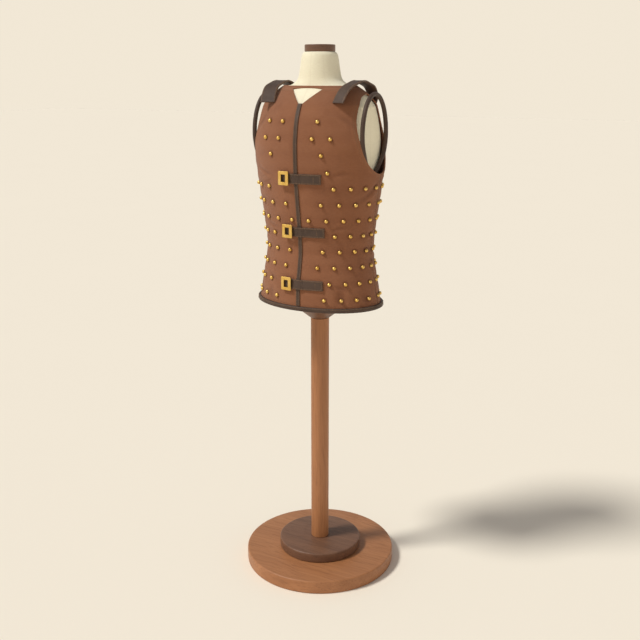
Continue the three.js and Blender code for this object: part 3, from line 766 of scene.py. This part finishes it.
def make_panel(name, from_angle, to_angle, node):
    columns = round((to_angle - from_angle) / PANEL_STEP["angle"]) + 1
    top = NECK_BAND_Z - SEAM_GAP
    rows = round((top - HEM_Z) / PANEL_STEP["z"]) + 1
    heights, angles = np.meshgrid(np.linspace(HEM_Z, top, rows), np.linspace(from_angle, to_angle, columns),
                                  indexing="ij")
    heights, angles = heights.ravel(), angles.ravel()
    bare = [skin_point(angle, z) for angle, z in zip(angles, heights)]
    normals = [skin_normal(angle, z) for angle, z in zip(angles, heights)]
    offset, worn, painted_shade = relief(angles, heights, np.array(bare))
    outer = [point + normal * lift for point, normal, lift in zip(bare, normals, offset)]
    made = make_object(name, outer, grid_faces(rows, columns))
    mark(made, "worn", worn)
    # The share of painted shade, stored for the material
    mark(made, "painted_shade", painted_shade)
    lay_grain(made, list(zip(angles * DEGREE_LENGTH, heights)))
    cut_openings(made)
    thicken = made.modifiers.new("thickness", "SOLIDIFY")
    thicken.thickness = CLOTH_WALL * MM
    thicken.offset = -1
    round_edges(made, 0.8, 60)
    return dress(made, CLOTH, "cloth", [node])


def cut(mesh, faces, point, normal):
    """Cuts some of a mesh's faces along a plane through a point."""
    edges = {edge for face in faces for edge in face.edges}
    corners = {corner for face in faces for corner in face.verts}
    geometry = list(edges | corners) + faces
    bmesh.ops.bisect_plane(mesh, geom=geometry, plane_co=point, plane_no=normal.normalized())


def in_throat(face):
    """Whether a face lies inside the V of the neck opening."""
    at = face.calc_center_median() / MM
    half = NECK_OPENING["bottom_half"] + NECK_SLOPE * (at.z - NECK_OPENING["bottom_z"])
    return at.y < 0 and at.z > NECK_OPENING["bottom_z"] and abs(at.x) < half


def cut_openings(made):
    """Cuts the armholes and the neck opening out of a panel's surface, with clean edges."""
    mesh = bmesh.new()
    mesh.from_mesh(made.data)
    half_depth, half_height = ARMHOLE["half_depth"], ARMHOLE["half_height"]
    centre = Vector((0, 0, ARMHOLE["z"])) * MM
    for step in range(ARMHOLE_CUT["planes"]):
        turn = (step + 0.5) * math.tau / ARMHOLE_CUT["planes"]
        normal = Vector((0, math.cos(turn) / half_depth, math.sin(turn) / half_height))
        edge = Vector((0, math.cos(turn) * half_depth, math.sin(turn) * half_height))
        near = [f for f in mesh.faces if armhole_reach(f.calc_center_median() / MM) < ARMHOLE_CUT["near"]]
        cut(mesh, near, centre + edge * MM, normal)
    gone = [f for f in mesh.faces if armhole_reach(f.calc_center_median() / MM) < ARMHOLE_CUT["gone"]]
    bmesh.ops.delete(mesh, geom=gone, context="FACES")

    def faces_at_throat():
        middles = [(face, face.calc_center_median() / MM) for face in mesh.faces]
        return [(face, at) for face, at in middles if at.z > NECK_CUT["from_z"] and at.y < 0]

    for side in (-1, 1):
        start = Vector((side * NECK_OPENING["bottom_half"], 0, NECK_OPENING["bottom_z"])) * MM
        cut(mesh, [face for face, _ in faces_at_throat()], start, Vector((side, 0, -NECK_SLOPE)))
    near = [face for face, at in faces_at_throat() if abs(at.x) < NECK_CUT["within_x"]]
    cut(mesh, near, Vector((0, 0, NECK_OPENING["bottom_z"])) * MM, Vector((0, 0, 1)))
    bmesh.ops.delete(mesh, geom=[face for face in mesh.faces if in_throat(face)], context="FACES")
    mesh.to_mesh(made.data)
    mesh.free()


FRONT_SEAM = 0.1
SIDE_SEAM = 0.12
panel_right = make_panel("front_right_cloth", -90 + SIDE_SEAM, -FRONT_SEAM, "vest_front_right")
panel_left = make_panel("front_left_cloth", FRONT_SEAM, 90 - SIDE_SEAM, "vest_front_left")
panel_back = make_panel("back_cloth", 90 + SIDE_SEAM, 270 - SIDE_SEAM, "vest_back")


# Closed pieces from sections

def loft(name, sections, loop=False):
    count = len(sections[0])
    points = [point for section in sections for point in section]
    faces = grid_faces(len(sections), count, closed_rows=loop, closed_columns=True)
    if not loop:
        last = (len(sections) - 1) * count
        faces.append(list(range(count))[::-1])
        faces.append([last + corner for corner in range(count)])
    return make_object(name, points, faces)


def turned(name, profile, segments):
    """A round piece from radius and height pairs, from the axis outwards and back."""
    points = [(0, 0, profile[0][1])]
    inner = profile[1:-1]
    for radius, z in inner:
        for step in range(segments):
            turn = math.tau * step / segments
            points.append((radius * math.cos(turn), radius * math.sin(turn), z))
    points.append((0, 0, profile[-1][1]))
    faces = grid_faces(len(inner), segments, first=1, closed_columns=True)
    last = len(points) - 1
    for step in range(segments):
        following = (step + 1) % segments
        faces.append([0, 1 + following, 1 + step])
        faces.append([last, last - segments + step, last - segments + following])
    return make_object(name, points, faces)


def rounded(profile, radius):
    """The profile with its corners rounded, apart from the two on the axis."""
    steps = 5
    out = [profile[0]]
    for before, corner, after in zip(profile, profile[1:], profile[2:]):
        a, b, c = Vector(before), Vector(corner), Vector(after)
        reach = min(radius, (a - b).length / 2, (c - b).length / 2)
        start = b + (a - b).normalized() * reach
        end = b + (c - b).normalized() * reach
        for step in range(steps + 1):
            share = step / steps
            out.append(tuple((1 - share) ** 2 * start + 2 * share * (1 - share) * b + share**2 * end))
    out.append(profile[-1])
    return out


def disc(radius, low, top, rounding):
    """The profile of an upright round piece."""
    return rounded([(0, low), (radius, low), (radius, top), (0, top)], rounding)


def make_stand():
    socket = rounded([(0, POLE["top_z"]), (SOCKET["foot_radius"], POLE["top_z"]),
                      (SOCKET["waist_radius"], SOCKET["waist_z"]), (SOCKET["rim_radius"], SOCKET["rim_z"]),
                      (SOCKET["rim_radius"], FORM_BODY[0][0] - SEAM_GAP), (0, FORM_BODY[0][0] - SEAM_GAP)], 6)
    pieces = [
        # name, node, profile, segments, material, slot
        ("foot_disc", "base_disc", disc(BASE_DISC["radius"], 0, BASE_DISC["top_z"], 5), 128,
         DISC_WOOD, "wood"),
        ("foot_collar", "base_collar",
         disc(BASE_COLLAR["radius"], BASE_DISC["top_z"] + SEAM_GAP, BASE_COLLAR["top_z"], 4), 112,
         DARK_WOOD, "dark_wood"),
        ("stand_pole", "pole",
         disc(POLE["radius"], BASE_COLLAR["top_z"] + SEAM_GAP, POLE["top_z"] - SEAM_GAP, 1.5), 64,
         POLE_WOOD, "wood"),
        ("socket_cone", "form_socket", socket, 80, DARK_WOOD, "dark_wood"),
        ("cap_disc", "neck_cap", disc(CAP_RADIUS, FORM_NECK[-1][0] + SEAM_GAP, TOTAL_HEIGHT, 2.5), 80,
         DARK_WOOD, "dark_wood"),
    ]
    for name, node, profile, segments, material, slot in pieces:
        dress(turned(name, profile, segments), material, slot, [node])


make_stand()


def form_inside_vest(z, angle):
    clearance = FORM_CLEARANCE["shoulder" if z > FORM_CLEARANCE["shoulder_z"] else "chest"]
    point = skin_point(angle, z, -CLOTH_WALL - clearance)
    past = (abs(point.x) / FORM_SIDE["half_width"]) ** FORM_SIDE["sharpness"]
    point.x /= (1 + past) ** (1 / FORM_SIDE["sharpness"])
    return point


def form_column(angle):
    """The form's control points up one side, from the underside to the cap."""
    column = [ellipse_point(half_width, half_depth, angle, z) for z, half_width, half_depth in FORM_BODY]
    for z, half_width, half_depth, share in FORM_RIBS:
        column.append(ellipse_point(half_width, half_depth, angle, z).lerp(form_inside_vest(z, angle), share))
    column += [form_inside_vest(ring[0], angle) for ring in VEST_RINGS if ring[0] > FORM_RIBS[-1][0]]
    column += [ellipse_point(half_width, half_depth, angle, z) for z, half_width, half_depth in FORM_NECK]
    return column


def make_form():
    """A smooth skin through the control points, with a shallow groove at each cover seam."""
    columns, between = 216, 5
    angles = [360 * step / columns for step in range(columns)]
    sides = [form_column(angle) for angle in angles]
    spans = len(sides[0]) - 1
    sections, painted_shade = [], []
    for step in range(spans * between + 1):
        share = step / (spans * between)
        section = []
        for angle, column in zip(angles, sides):
            near_seam = max(math.exp(-(turn_between(angle, seam) / FORM_SEAM["width"]) ** 2)
                            for seam in FORM_SEAM["angles"])
            point = catmull_rom(column, share)
            flat = Vector((point.x, point.y, 0))
            section.append(point - flat.normalized() * FORM_SEAM["depth"] * near_seam)
            # Painted shade along each seam's groove
            painted_shade.append(0.6 * near_seam)
        sections.append(section)
    made = loft("linen_form", sections)
    mark(made, "painted_shade", painted_shade)
    lay_grain(made, [(angle * FORM_SEAM["degree_length"], point.z)
                     for section in sections for angle, point in zip(angles, section)],
              360 * FORM_SEAM["degree_length"])
    return dress(made, LINEN, "linen", ["dress_form"])


make_form()


def make_roll(name, side, node):
    steps, sides, nearby = 160, 16, 0.01
    radius = ROLL["radius"]

    def centre_at(turn):
        up = math.cos(turn)
        out = abs(math.sin(turn)) ** (ROLL_TUCK["taper"] if up < 0 else 1)
        height = ROLL["z"] + up * (ROLL["drop"] if up < 0 else ROLL["rise"])
        tuck = eased((ROLL_TUCK["start_z"] - height) / (ROLL_TUCK["start_z"] - ROLL_TUCK["end_z"]))
        depth = math.copysign(ROLL["half_depth"] * out, math.sin(turn))
        return Vector((side * (ROLL["x"] - ROLL_TUCK["inward"] * tuck), depth, height))

    sections = []
    for step in range(steps):
        turn = -side * (step + 0.5) * math.tau / steps
        along = ((centre_at(turn + nearby) - centre_at(turn - nearby)) * -side).normalized()
        inward = along.cross(Vector((side, 0, 0))).normalized()
        outward = inward.cross(along)
        section = []
        for corner in range(sides):
            angle = corner * math.tau / sides
            section.append(centre_at(turn) + outward * radius * math.cos(angle)
                           + inward * radius * math.sin(angle))
        sections.append(section)
    made = dress(loft(name, sections, loop=True), LEATHER, "leather", [node])
    return made


make_roll("roll_right", -1, "armhole_roll_right")
make_roll("roll_left", 1, "armhole_roll_left")


# Straps, placket and trim: walls over rows of skin points

def wall(name, rows, columns, point_at, ring=False):
    """A closed wall over a grid. point_at(row, column, outer) gives its points."""
    points = [point_at(row, column, outer) for outer in (True, False)
              for row in range(rows) for column in range(columns)]
    inner = rows * columns
    faces = grid_faces(rows, columns, closed_columns=ring)
    faces += grid_faces(rows, columns, first=inner, closed_columns=ring, flip=True)
    for column in range(columns if ring else columns - 1):
        following = (column + 1) % columns
        faces.append([column, inner + column, inner + following, following])
        top = (rows - 1) * columns
        faces.append([top + column, top + following, inner + top + following, inner + top + column])
    if not ring:
        for row in range(rows - 1):
            near, far = row * columns, (row + 1) * columns
            faces.append([near, far, inner + far, inner + near])
            last = columns - 1
            faces.append([near + last, inner + near + last, inner + far + last, far + last])
    made = make_object(name, points, faces)
    rubbed = []
    for outer in (1, 0.4):
        for row in range(rows):
            for column in range(columns):
                at_edge = row in (0, rows - 1) or (not ring and column in (0, columns - 1))
                rubbed.append(outer * (1 if at_edge else 0))
    mark(made, "worn", rubbed)
    return made


def make_neck_band():
    rows, columns, row_height = 4, 240, 2.7
    corner = angle_at_x(NECK_OPENING["top_half"], NECK_BAND_Z)

    def point_at(row, column, outer):
        angle = 360 * column / columns
        from_front = min(angle, 360 - angle) / corner
        low = NECK_BAND_Z + NECK_BAND_ARCH * max(0, 1 - from_front**2)
        z = low + (NECKLINE_Z - low) * row / (rows - 1)
        return skin_point(angle, z, 0 if outer else -CLOTH_WALL)

    made = wall("neck_band_cloth", rows, columns, point_at, ring=True)
    grain, rubbed = [], []
    for row in range(rows):
        for column in range(columns):
            grain.append((360 * column / columns * DEGREE_LENGTH, NECK_BAND_Z + row * row_height))
            rubbed.append(0.5 if row in (0, rows - 1) else 0.1)
    lay_grain(made, grain * 2, 360 * DEGREE_LENGTH)
    mark(made, "worn", rubbed * 2)
    round_edges(made, 0.6)
    return dress(made, CLOTH, "cloth", ["neck_band"])


neck_band = make_neck_band()


def make_placket():
    rows, columns = 140, 9
    half = PLACKET["width"] / 2

    def point_at(row, column, outer):
        z = PLACKET["bottom_z"] + (PLACKET["top_z"] - PLACKET["bottom_z"]) * row / (rows - 1)
        offset = SEAM_GAP + (PLACKET["thickness"] if outer else 0)
        return skin_point(angle_at_x(half, z) * (2 * column / (columns - 1) - 1), z, offset)

    made = round_edges(wall("placket_leather", rows, columns, point_at), 0.6)
    dress(made, LEATHER, "leather", ["placket_strip"])


make_placket()


def strap_offset(x):
    foot = STRAP_HUMP["left_foot"] if x < 0 else STRAP_HUMP["right_foot"]
    up = eased((foot - abs(x)) / (foot - STRAP_HUMP["half_top"]))
    return SEAM_GAP + (PLACKET["thickness"] + SEAM_GAP) * up


def make_front_strap(name, middle_z, node):
    """A strap that lies on the cloth and rises over the placket."""
    rows, columns = 12, 90

    def point_at(row, column, outer):
        x = STRAP["from_x"] + (STRAP["to_x"] - STRAP["from_x"]) * column / (columns - 1)
        z = middle_z + STRAP["height"] * (row / (rows - 1) - 0.5)
        offset = strap_offset(x) + (STRAP["thickness"] if outer else 0)
        return skin_point(angle_at_x(x, middle_z), z, offset)

    dress(round_edges(wall(name, rows, columns, point_at), 0.8), LEATHER, "leather", [node])


def rounded_rectangle(half_width, half_height, radius):
    """Points round a rectangle: nine at each corner and three along each side."""
    corners = [(1, 1, 0), (-1, 1, 90), (-1, -1, 180), (1, -1, 270)]
    arcs = []
    for side_x, side_z, first in corners:
        arc = []
        for step in range(9):
            turn = math.radians(first + step * 90 / 8)
            arc.append(Vector((side_x * (half_width - radius) + radius * math.cos(turn),
                               side_z * (half_height - radius) + radius * math.sin(turn))))
        arcs.append(arc)
    points = []
    for arc, following in zip(arcs, arcs[1:] + arcs[:1]):
        points += arc
        points += [arc[-1].lerp(following[0], step / 4) for step in (1, 2, 3)]
    return points


def make_buckle(name, middle_z, node):
    """A cast frame with soft edges: flat and upright, just outside the strap where it leans out furthest."""
    width, height, thickness = BUCKLE["width"], BUCKLE["height"], BUCKLE["thickness"]
    middle_angle = angle_at_x(BUCKLE["x"], middle_z)
    middle = skin_point(middle_angle, middle_z)
    outward = skin_normal(middle_angle, middle_z)
    outward = Vector((outward.x, outward.y, 0)).normalized()
    right = Vector((-outward.y, outward.x, 0))
    reach = max(
        skin_point(angle_at_x(BUCKLE["x"] + across * width / 8, middle_z),
                   middle_z + up * STRAP["height"] / 8, SEAM_GAP + STRAP["thickness"]).dot(outward)
        for across in range(-4, 5) for up in range(-4, 5))
    middle += outward * (reach + SEAM_GAP + thickness / 2 - middle.dot(outward))
    outside = rounded_rectangle(width / 2, height / 2, BUCKLE["corner"])
    inside = rounded_rectangle(width / 2 - BUCKLE["side_bar"], height / 2 - BUCKLE["end_bar"],
                               BUCKLE["hole_corner"])
    sides = 20
    sections, painted_shade = [], []
    for outer, inner in zip(outside, inside):
        section = []
        for side in range(sides):
            turn = math.tau * side / sides
            across = math.copysign(abs(math.cos(turn)) ** BUCKLE["squareness"], math.cos(turn))
            out = math.copysign(abs(math.sin(turn)) ** BUCKLE["squareness"], math.sin(turn)) * thickness / 2
            spot = (outer + inner) / 2 + (outer - inner) / 2 * across
            section.append(middle + right * spot.x + outward * out + Vector((0, 0, spot.y)))
            # Painted shade on the frame's back and on the walls of its hole
            painted_shade.append(0.9 if out < 0 or across < -0.85 else 0)
        sections.append(section)
    made = loft(name, sections, loop=True)
    mark(made, "painted_shade", painted_shade)
    dress(made, BRASS, "brass", [node])


for number, height in enumerate(STRAP_HEIGHTS, start=1):
    make_front_strap(f"strap_{number}_leather", height, f"front_strap_{number}")
    make_buckle(f"buckle_{number}_frame", height, f"buckle_{number}")


def make_hem_trim():
    columns = 240
    inside = -HEM_TRIM["inside"]
    cloth_inside = -CLOTH_WALL - SEAM_GAP
    low, top = HEM_TRIM["bottom_z"], HEM_TRIM["top_z"]
    corners = [
        (SEAM_GAP, top),
        (HEM_TRIM["outside"] - 2.5, top),
        (HEM_TRIM["outside"] - 0.7, top - 0.7),
        (HEM_TRIM["outside"], top - 2.5),
        (HEM_TRIM["outside"], low + 3),
        (HEM_TRIM["outside"] - 0.9, low + 0.9),
        (HEM_TRIM["outside"] - 3, low),
        (inside + 1.5, low),
        (inside, low + 1.5),
        (inside, top - 3),
        (cloth_inside, top - 3),
        (cloth_inside, HEM_Z - SEAM_GAP),
        (SEAM_GAP, HEM_Z - SEAM_GAP),
    ]
    sections = [[skin_point(360 * column / columns, z, offset) for offset, z in corners]
                for column in range(columns)]
    dress(loft("hem_leather", sections, loop=True), LEATHER, "leather", ["hem_trim"])


make_hem_trim()


# Stitches

def run_along(points, pitch):
    """Places at an even pitch along a line of points, as point and direction pairs."""
    lengths = [0.0]
    for before, after in zip(points, points[1:]):
        lengths.append(lengths[-1] + (after - before).length)
    count = max(round(lengths[-1] / pitch), 1)
    found, segment = [], 0
    for step in range(count):
        wanted = (step + 0.5) * lengths[-1] / count
        while lengths[segment + 1] < wanted:
            segment += 1
        span = lengths[segment + 1] - lengths[segment]
        share = (wanted - lengths[segment]) / span
        along = (points[segment + 1] - points[segment]).normalized()
        found.append((points[segment].lerp(points[segment + 1], share), along))
    return found


def stitch_mesh(points, faces, place, along, outward):
    """Adds one stitch: a short arch of thread, whose ends go down into the material."""
    across = outward.cross(along).normalized()
    first, sides, rings = len(points), STITCH["sides"], len(STITCH["stations"])
    for share in STITCH["stations"]:
        rise = STITCH["rise"] * (1 - share**2) - STITCH["sink"] * share**2
        centre = place + along * share * STITCH["length"] / 2 + outward * rise
        radius = STITCH["radius"] * (1 - STITCH["taper"] * share**2)
        for side in range(sides):
            turn = math.tau * side / sides
            points.append(centre + across * radius * math.cos(turn) + outward * radius * math.sin(turn))
    faces += grid_faces(rings, sides, first=first, closed_columns=True)
    faces.append([first + side for side in range(sides)][::-1])
    faces.append([first + (rings - 1) * sides + side for side in range(sides)])


def sew(name, lines):
    """Stitches along lines of points. Each line comes with the points' outward directions."""
    points, faces = [], []
    for line, outwards in lines:
        for place, along in run_along(line, STITCH["pitch"]):
            nearest = min(range(len(line)), key=lambda index: (line[index] - place).length_squared)
            stitch_mesh(points, faces, place, along, outwards[nearest])
    return dress(make_object(name, points, faces), THREAD, "cloth")


def on_skin(spots, offset):
    """A stitch line from angle and height pairs, at an offset from the plain skin."""
    return [skin_point(angle, z, offset) for angle, z in spots], [skin_normal(angle, z) for angle, z in spots]


def on_cloth(spots):
    """A stitch line that lies on the creased cloth."""
    bare, normals = on_skin(spots, 0)
    lift, _, _ = relief(*np.array(spots, dtype=float).T, np.array(bare))
    return [point + normal * float(up) for point, normal, up in zip(bare, normals, lift)], normals


def steps_between(low, high, step):
    count = max(round(abs(high - low) / step), 1)
    return [low + (high - low) * index / count for index in range(count + 1)]


def armhole_spots(side, from_turn, to_turn):
    """Angle and height pairs round an armhole, one seam allowance away from its edge."""
    spots = []
    half_depth = ARMHOLE["half_depth"] + TURNED_EDGE["stitch"]
    half_height = ARMHOLE["half_height"] + TURNED_EDGE["stitch"]
    for turn in steps_between(from_turn, to_turn, 2):
        z = ARMHOLE["z"] - half_height * math.cos(math.radians(turn))
        y = half_depth * math.sin(math.radians(turn))
        _, depth = ring_sizes(z)
        if abs(y) < depth:
            spots.append((side * math.degrees(math.acos(-y / depth)), z))
    return spots


def panel_seams(seam_angle, hole_turns, side):
    """The stitch lines at one edge of a panel: its side seam and its share of the armhole edge."""
    bottom = HEM_TRIM["top_z"] + 2
    top = ARMHOLE["z"] - ARMHOLE["half_height"] - TURNED_EDGE["stitch"] - 3
    seam = [(seam_angle, z) for z in steps_between(bottom, top, 4)]
    return [on_cloth(seam), on_cloth(armhole_spots(side, *hole_turns))]


def make_cloth_stitches():
    seam = 90 - TURNED_EDGE["stitch"] / SEAM_DEGREE_LENGTH
    neck_z = NECK_BAND_Z - STITCH_INSET["neck"]
    pieces = []
    for name, side in (("stitches_front_right", -1), ("stitches_front_left", 1)):
        lines = panel_seams(side * seam, (-3, -172), side)
        throat = []
        for z in steps_between(NECK_OPENING["bottom_z"] + 3, NECK_BAND_Z - 4, 3):
            half = NECK_OPENING["bottom_half"] + NECK_SLOPE * (z - NECK_OPENING["bottom_z"])
            throat.append((side * angle_at_x(half + STITCH_INSET["throat"], z), z))
        lines.append(on_cloth(throat))
        start = throat[-1][0] + side * 2
        lines.append(on_cloth([(angle, neck_z) for angle in steps_between(start, side * 68, 2)]))
        pieces.append(sew(name, lines))
    back = []
    for side in (-1, 1):
        back += panel_seams(side * (180 - seam), (3, 172), side)
    back.append(on_cloth([(angle, neck_z) for angle in steps_between(112, 248, 2)]))
    pieces.append(sew("stitches_back", back))
    return pieces


def make_hem_stitches():
    top = HEM_TRIM["top_z"] - STITCH_INSET["hem"]
    sew("stitches_hem", [on_skin([(angle, top) for angle in steps_between(0, 360, 2)], HEM_TRIM["outside"])])


def make_placket_stitches():
    """Two lines down the placket, which stop above and below each strap."""
    offset = SEAM_GAP + PLACKET["thickness"]
    inset = PLACKET["width"] / 2 - STITCH_INSET["placket"]
    stops = [PLACKET["bottom_z"] + 3]
    for height in reversed(STRAP_HEIGHTS):
        stops += [height - STRAP["height"] / 2 - 2, height + STRAP["height"] / 2 + 2]
    stops.append(PLACKET["top_z"] - 3)
    lines = []
    for side in (-1, 1):
        for low, high in zip(stops[::2], stops[1::2]):
            spots = [(side * angle_at_x(inset, z), z) for z in steps_between(low, high, 6)]
            lines.append(on_skin(spots, offset))
    sew("stitches_placket", lines)


def make_strap_stitches(name, height):
    """Lines along a front strap's edges and end, and one across it where it is sewn to the cloth."""
    edge = STRAP["height"] / 2 - STITCH_INSET["strap"]
    left, right, inner = -14, STRAP["to_x"] - STITCH_INSET["strap_end"], STRAP["to_x"] - 20
    box = [
        [(x, height + edge) for x in steps_between(left, right, 3)],
        [(right, z) for z in steps_between(height + edge, height - edge, 3)],
        [(x, height - edge) for x in steps_between(right, left, 3)],
        [(inner, z) for z in steps_between(height - edge + 4, height + edge - 4, 3)],
    ]
    lines = []
    for side in box:
        spots = [(angle_at_x(x, height), z) for x, z in side]
        points = [skin_point(angle, z, STRAP["thickness"] + strap_offset(x))
                  for (angle, z), (x, _) in zip(spots, side)]
        lines.append((points, [skin_normal(angle, z) for angle, z in spots]))
    sew(name, lines)


# Shoulder straps

def strap_path():
    """The shoulder strap's stations: place and the direction of its width. The back end lies flat."""
    stations = [(Vector((x, y, z)), turn) for x, y, z, turn in STRAP_ARCH]
    for x, z in zip(STRAP_BACK_END_X, STRAP_END_HEIGHTS):
        angle = 180 - angle_at_x(x, z)
        across = skin_point(angle + 5, z) - skin_point(angle - 5, z)
        turn = math.degrees(math.atan(across.y / across.x))
        stations.append((skin_point(angle, z, SHOULDER_STRAP["end_gap"]), turn))
    return stations


def make_shoulder_strap(name, side, node):
    """A strap along its path, with a line of stitches near both edges. The right one is mirrored."""
    stations = strap_path()
    places = [place for place, _ in stations]
    turns = [Vector((turn, 0, 0)) for _, turn in stations]
    steps, nearby = 110, 0.004
    half, thick = SHOULDER_STRAP["width"] / 2, SHOULDER_STRAP["thickness"]
    inset = STITCH_INSET["shoulder"]
    outline = [
        (-half + 1, thick), (-half + inset, thick), (0, thick), (half - inset, thick), (half - 1, thick),
        (half, thick - 1), (half, 0.8), (half - 0.8, 0), (0, 0), (-half + 0.8, 0), (-half, 0.8),
        (-half, thick - 1),
    ]
    borders = {1: ([], []), 3: ([], [])}
    sections = []
    for step in range(steps + 1):
        at = step / steps
        turn = math.radians(catmull_rom(turns, at).x)
        across = Vector((math.cos(turn), math.sin(turn), 0))
        ahead, behind = catmull_rom(places, min(at + nearby, 1)), catmull_rom(places, max(at - nearby, 0))
        outward = across.cross((ahead - behind).normalized()).normalized()
        section = []
        for corner, (sideways, out) in enumerate(outline):
            point = catmull_rom(places, at) + across * sideways + outward * out
            point.x *= side
            section.append(point)
            if corner in borders:
                line, facings = borders[corner]
                line.append(point.copy())
                facings.append(Vector((side * outward.x, outward.y, outward.z)))
        sections.append(section if side > 0 else section[::-1])
    made = loft(name, sections)
    edges = [1 if abs(sideways) > half - 1.1 else 0 for sideways, _ in outline]
    mark(made, "worn", (edges if side > 0 else edges[::-1]) * (steps + 1))
    dress(round_edges(made, 0.5), LEATHER, "leather", [node])
    lines = [(line[2:-2], facings[2:-2]) for line, facings in borders.values()]
    sew(name.replace("leather", "stitches"), lines)


make_shoulder_strap("shoulder_right_leather", -1, "shoulder_strap_right")
make_shoulder_strap("shoulder_left_leather", 1, "shoulder_strap_left")


cloth_stitches = make_cloth_stitches()
make_hem_stitches()
make_placket_stitches()
for number, height in enumerate(STRAP_HEIGHTS, start=1):
    make_strap_stitches(f"stitches_strap_{number}", height)


# Rivets

def make_rivets(name, places):
    """Domed heads, whose feet go down into the cloth."""
    dome_steps, sides, shade_height = 5, 18, 2.2
    profile = [(0.0, RIVET_HEIGHT)]
    for step in range(1, dome_steps + 1):
        turn = step / dome_steps * math.pi / 2
        profile.append((RIVET_RADIUS * math.sin(turn),
                        RIVET_RIM_HEIGHT + (RIVET_HEIGHT - RIVET_RIM_HEIGHT) * math.cos(turn)))
    profile += RIVET_FOOT
    points, faces, painted_shade = [], [], []
    for angle, z in places:
        place = skin_point(angle, z)
        outward = skin_normal(angle, z)
        turn_to = outward.to_track_quat("Z", "Y")
        first = len(points)
        points.append(place + outward * profile[0][1])
        painted_shade.append(0)
        for radius, height in profile[1:]:
            for side in range(sides):
                turn = math.tau * side / sides
                local = Vector((radius * math.cos(turn), radius * math.sin(turn), height))
                points.append(place + turn_to @ local)
                # Painted shade on the head near the cloth, darkest at its foot
                painted_shade.append(1 - height / shade_height)
        for side in range(sides):
            faces.append([first, first + 1 + side, first + 1 + (side + 1) % sides])
        rings = len(profile) - 1
        faces += grid_faces(rings, sides, first=first + 1, closed_columns=True, flip=True)
        faces.append([first + 1 + (rings - 1) * sides + side for side in range(sides)][::-1])
    made = make_object(name, points, faces)
    mark(made, "painted_shade", painted_shade)
    return dress(made, BRASS, "brass")


rivets_right = make_rivets("rivets_front_right", [p for p in ALL_RIVETS if -90 < p[0] < 0])
rivets_left = make_rivets("rivets_front_left", [p for p in ALL_RIVETS if 0 < p[0] < 90])
rivets_back = make_rivets("rivets_back", [p for p in ALL_RIVETS if abs(p[0]) > 90])


# Camera, floor and light

def make_camera():
    turn, tilt = math.radians(CAMERA_TURN), math.radians(CAMERA_TILT)
    data = bpy.data.cameras.new("camera")
    data.sensor_width = 36
    data.lens = data.sensor_width / 2 / math.tan(math.radians(CAMERA_FIELD / 2))
    camera = bpy.data.objects.new("camera", data)
    camera.location = Vector((CAMERA_DISTANCE * math.sin(turn), -CAMERA_DISTANCE * math.cos(turn),
                              CAMERA_HEIGHT)) * MM
    ahead = Vector((-math.sin(turn) * math.cos(tilt), math.cos(turn) * math.cos(tilt), -math.sin(tilt)))
    camera.rotation_mode = "QUATERNION"
    camera.rotation_quaternion = ahead.to_track_quat("-Z", "Y")
    bpy.context.scene.collection.objects.link(camera)
    bpy.context.scene.camera = camera


def make_studio():
    corners = [(x * FLOOR_HALF, y * FLOOR_HALF, 0) for x, y in ((-1, -1), (1, -1), (1, 1), (-1, 1))]
    floor = make_object("floor", corners, [[0, 1, 2, 3]])
    floor.data.materials.append(make_floor_material())

    world = bpy.data.worlds.new("studio")
    world.use_nodes = True
    tree = world.node_tree
    background = tree.nodes["Background"]
    direction = add_node(tree, "ShaderNodeTexCoord").outputs["Generated"]
    up = add_node(tree, "ShaderNodeSeparateXYZ", {"Vector": direction}).outputs["Z"]
    high = add_node(tree, "ShaderNodeMapRange", {
        "Value": up, "From Min": math.sin(math.radians(HORIZON_GLOW["full"])),
        "From Max": math.sin(math.radians(HORIZON_GLOW["gone"]))}, interpolation_type="SMOOTHSTEP")
    sky = mix_colours(tree, high.outputs["Result"], BACKDROP, OVERHEAD)
    tree.links.new(sky, background.inputs["Color"])
    bpy.context.scene.world = world

    data = bpy.data.lights.new("key", "SUN")
    data.energy = KEY["energy"]
    data.angle = math.radians(KEY["softness"])
    data.color = KEY["colour"]
    key = bpy.data.objects.new("key", data)
    heading, fall = math.radians(KEY["heading"]), math.radians(KEY["fall"])
    way = Vector((math.cos(heading) * math.cos(fall), math.sin(heading) * math.cos(fall), -math.sin(fall)))
    key.rotation_mode = "QUATERNION"
    key.rotation_quaternion = way.to_track_quat("-Z", "Y")
    bpy.context.scene.collection.objects.link(key)
    bpy.context.scene.view_settings.view_transform = "Standard"


make_camera()
make_studio()
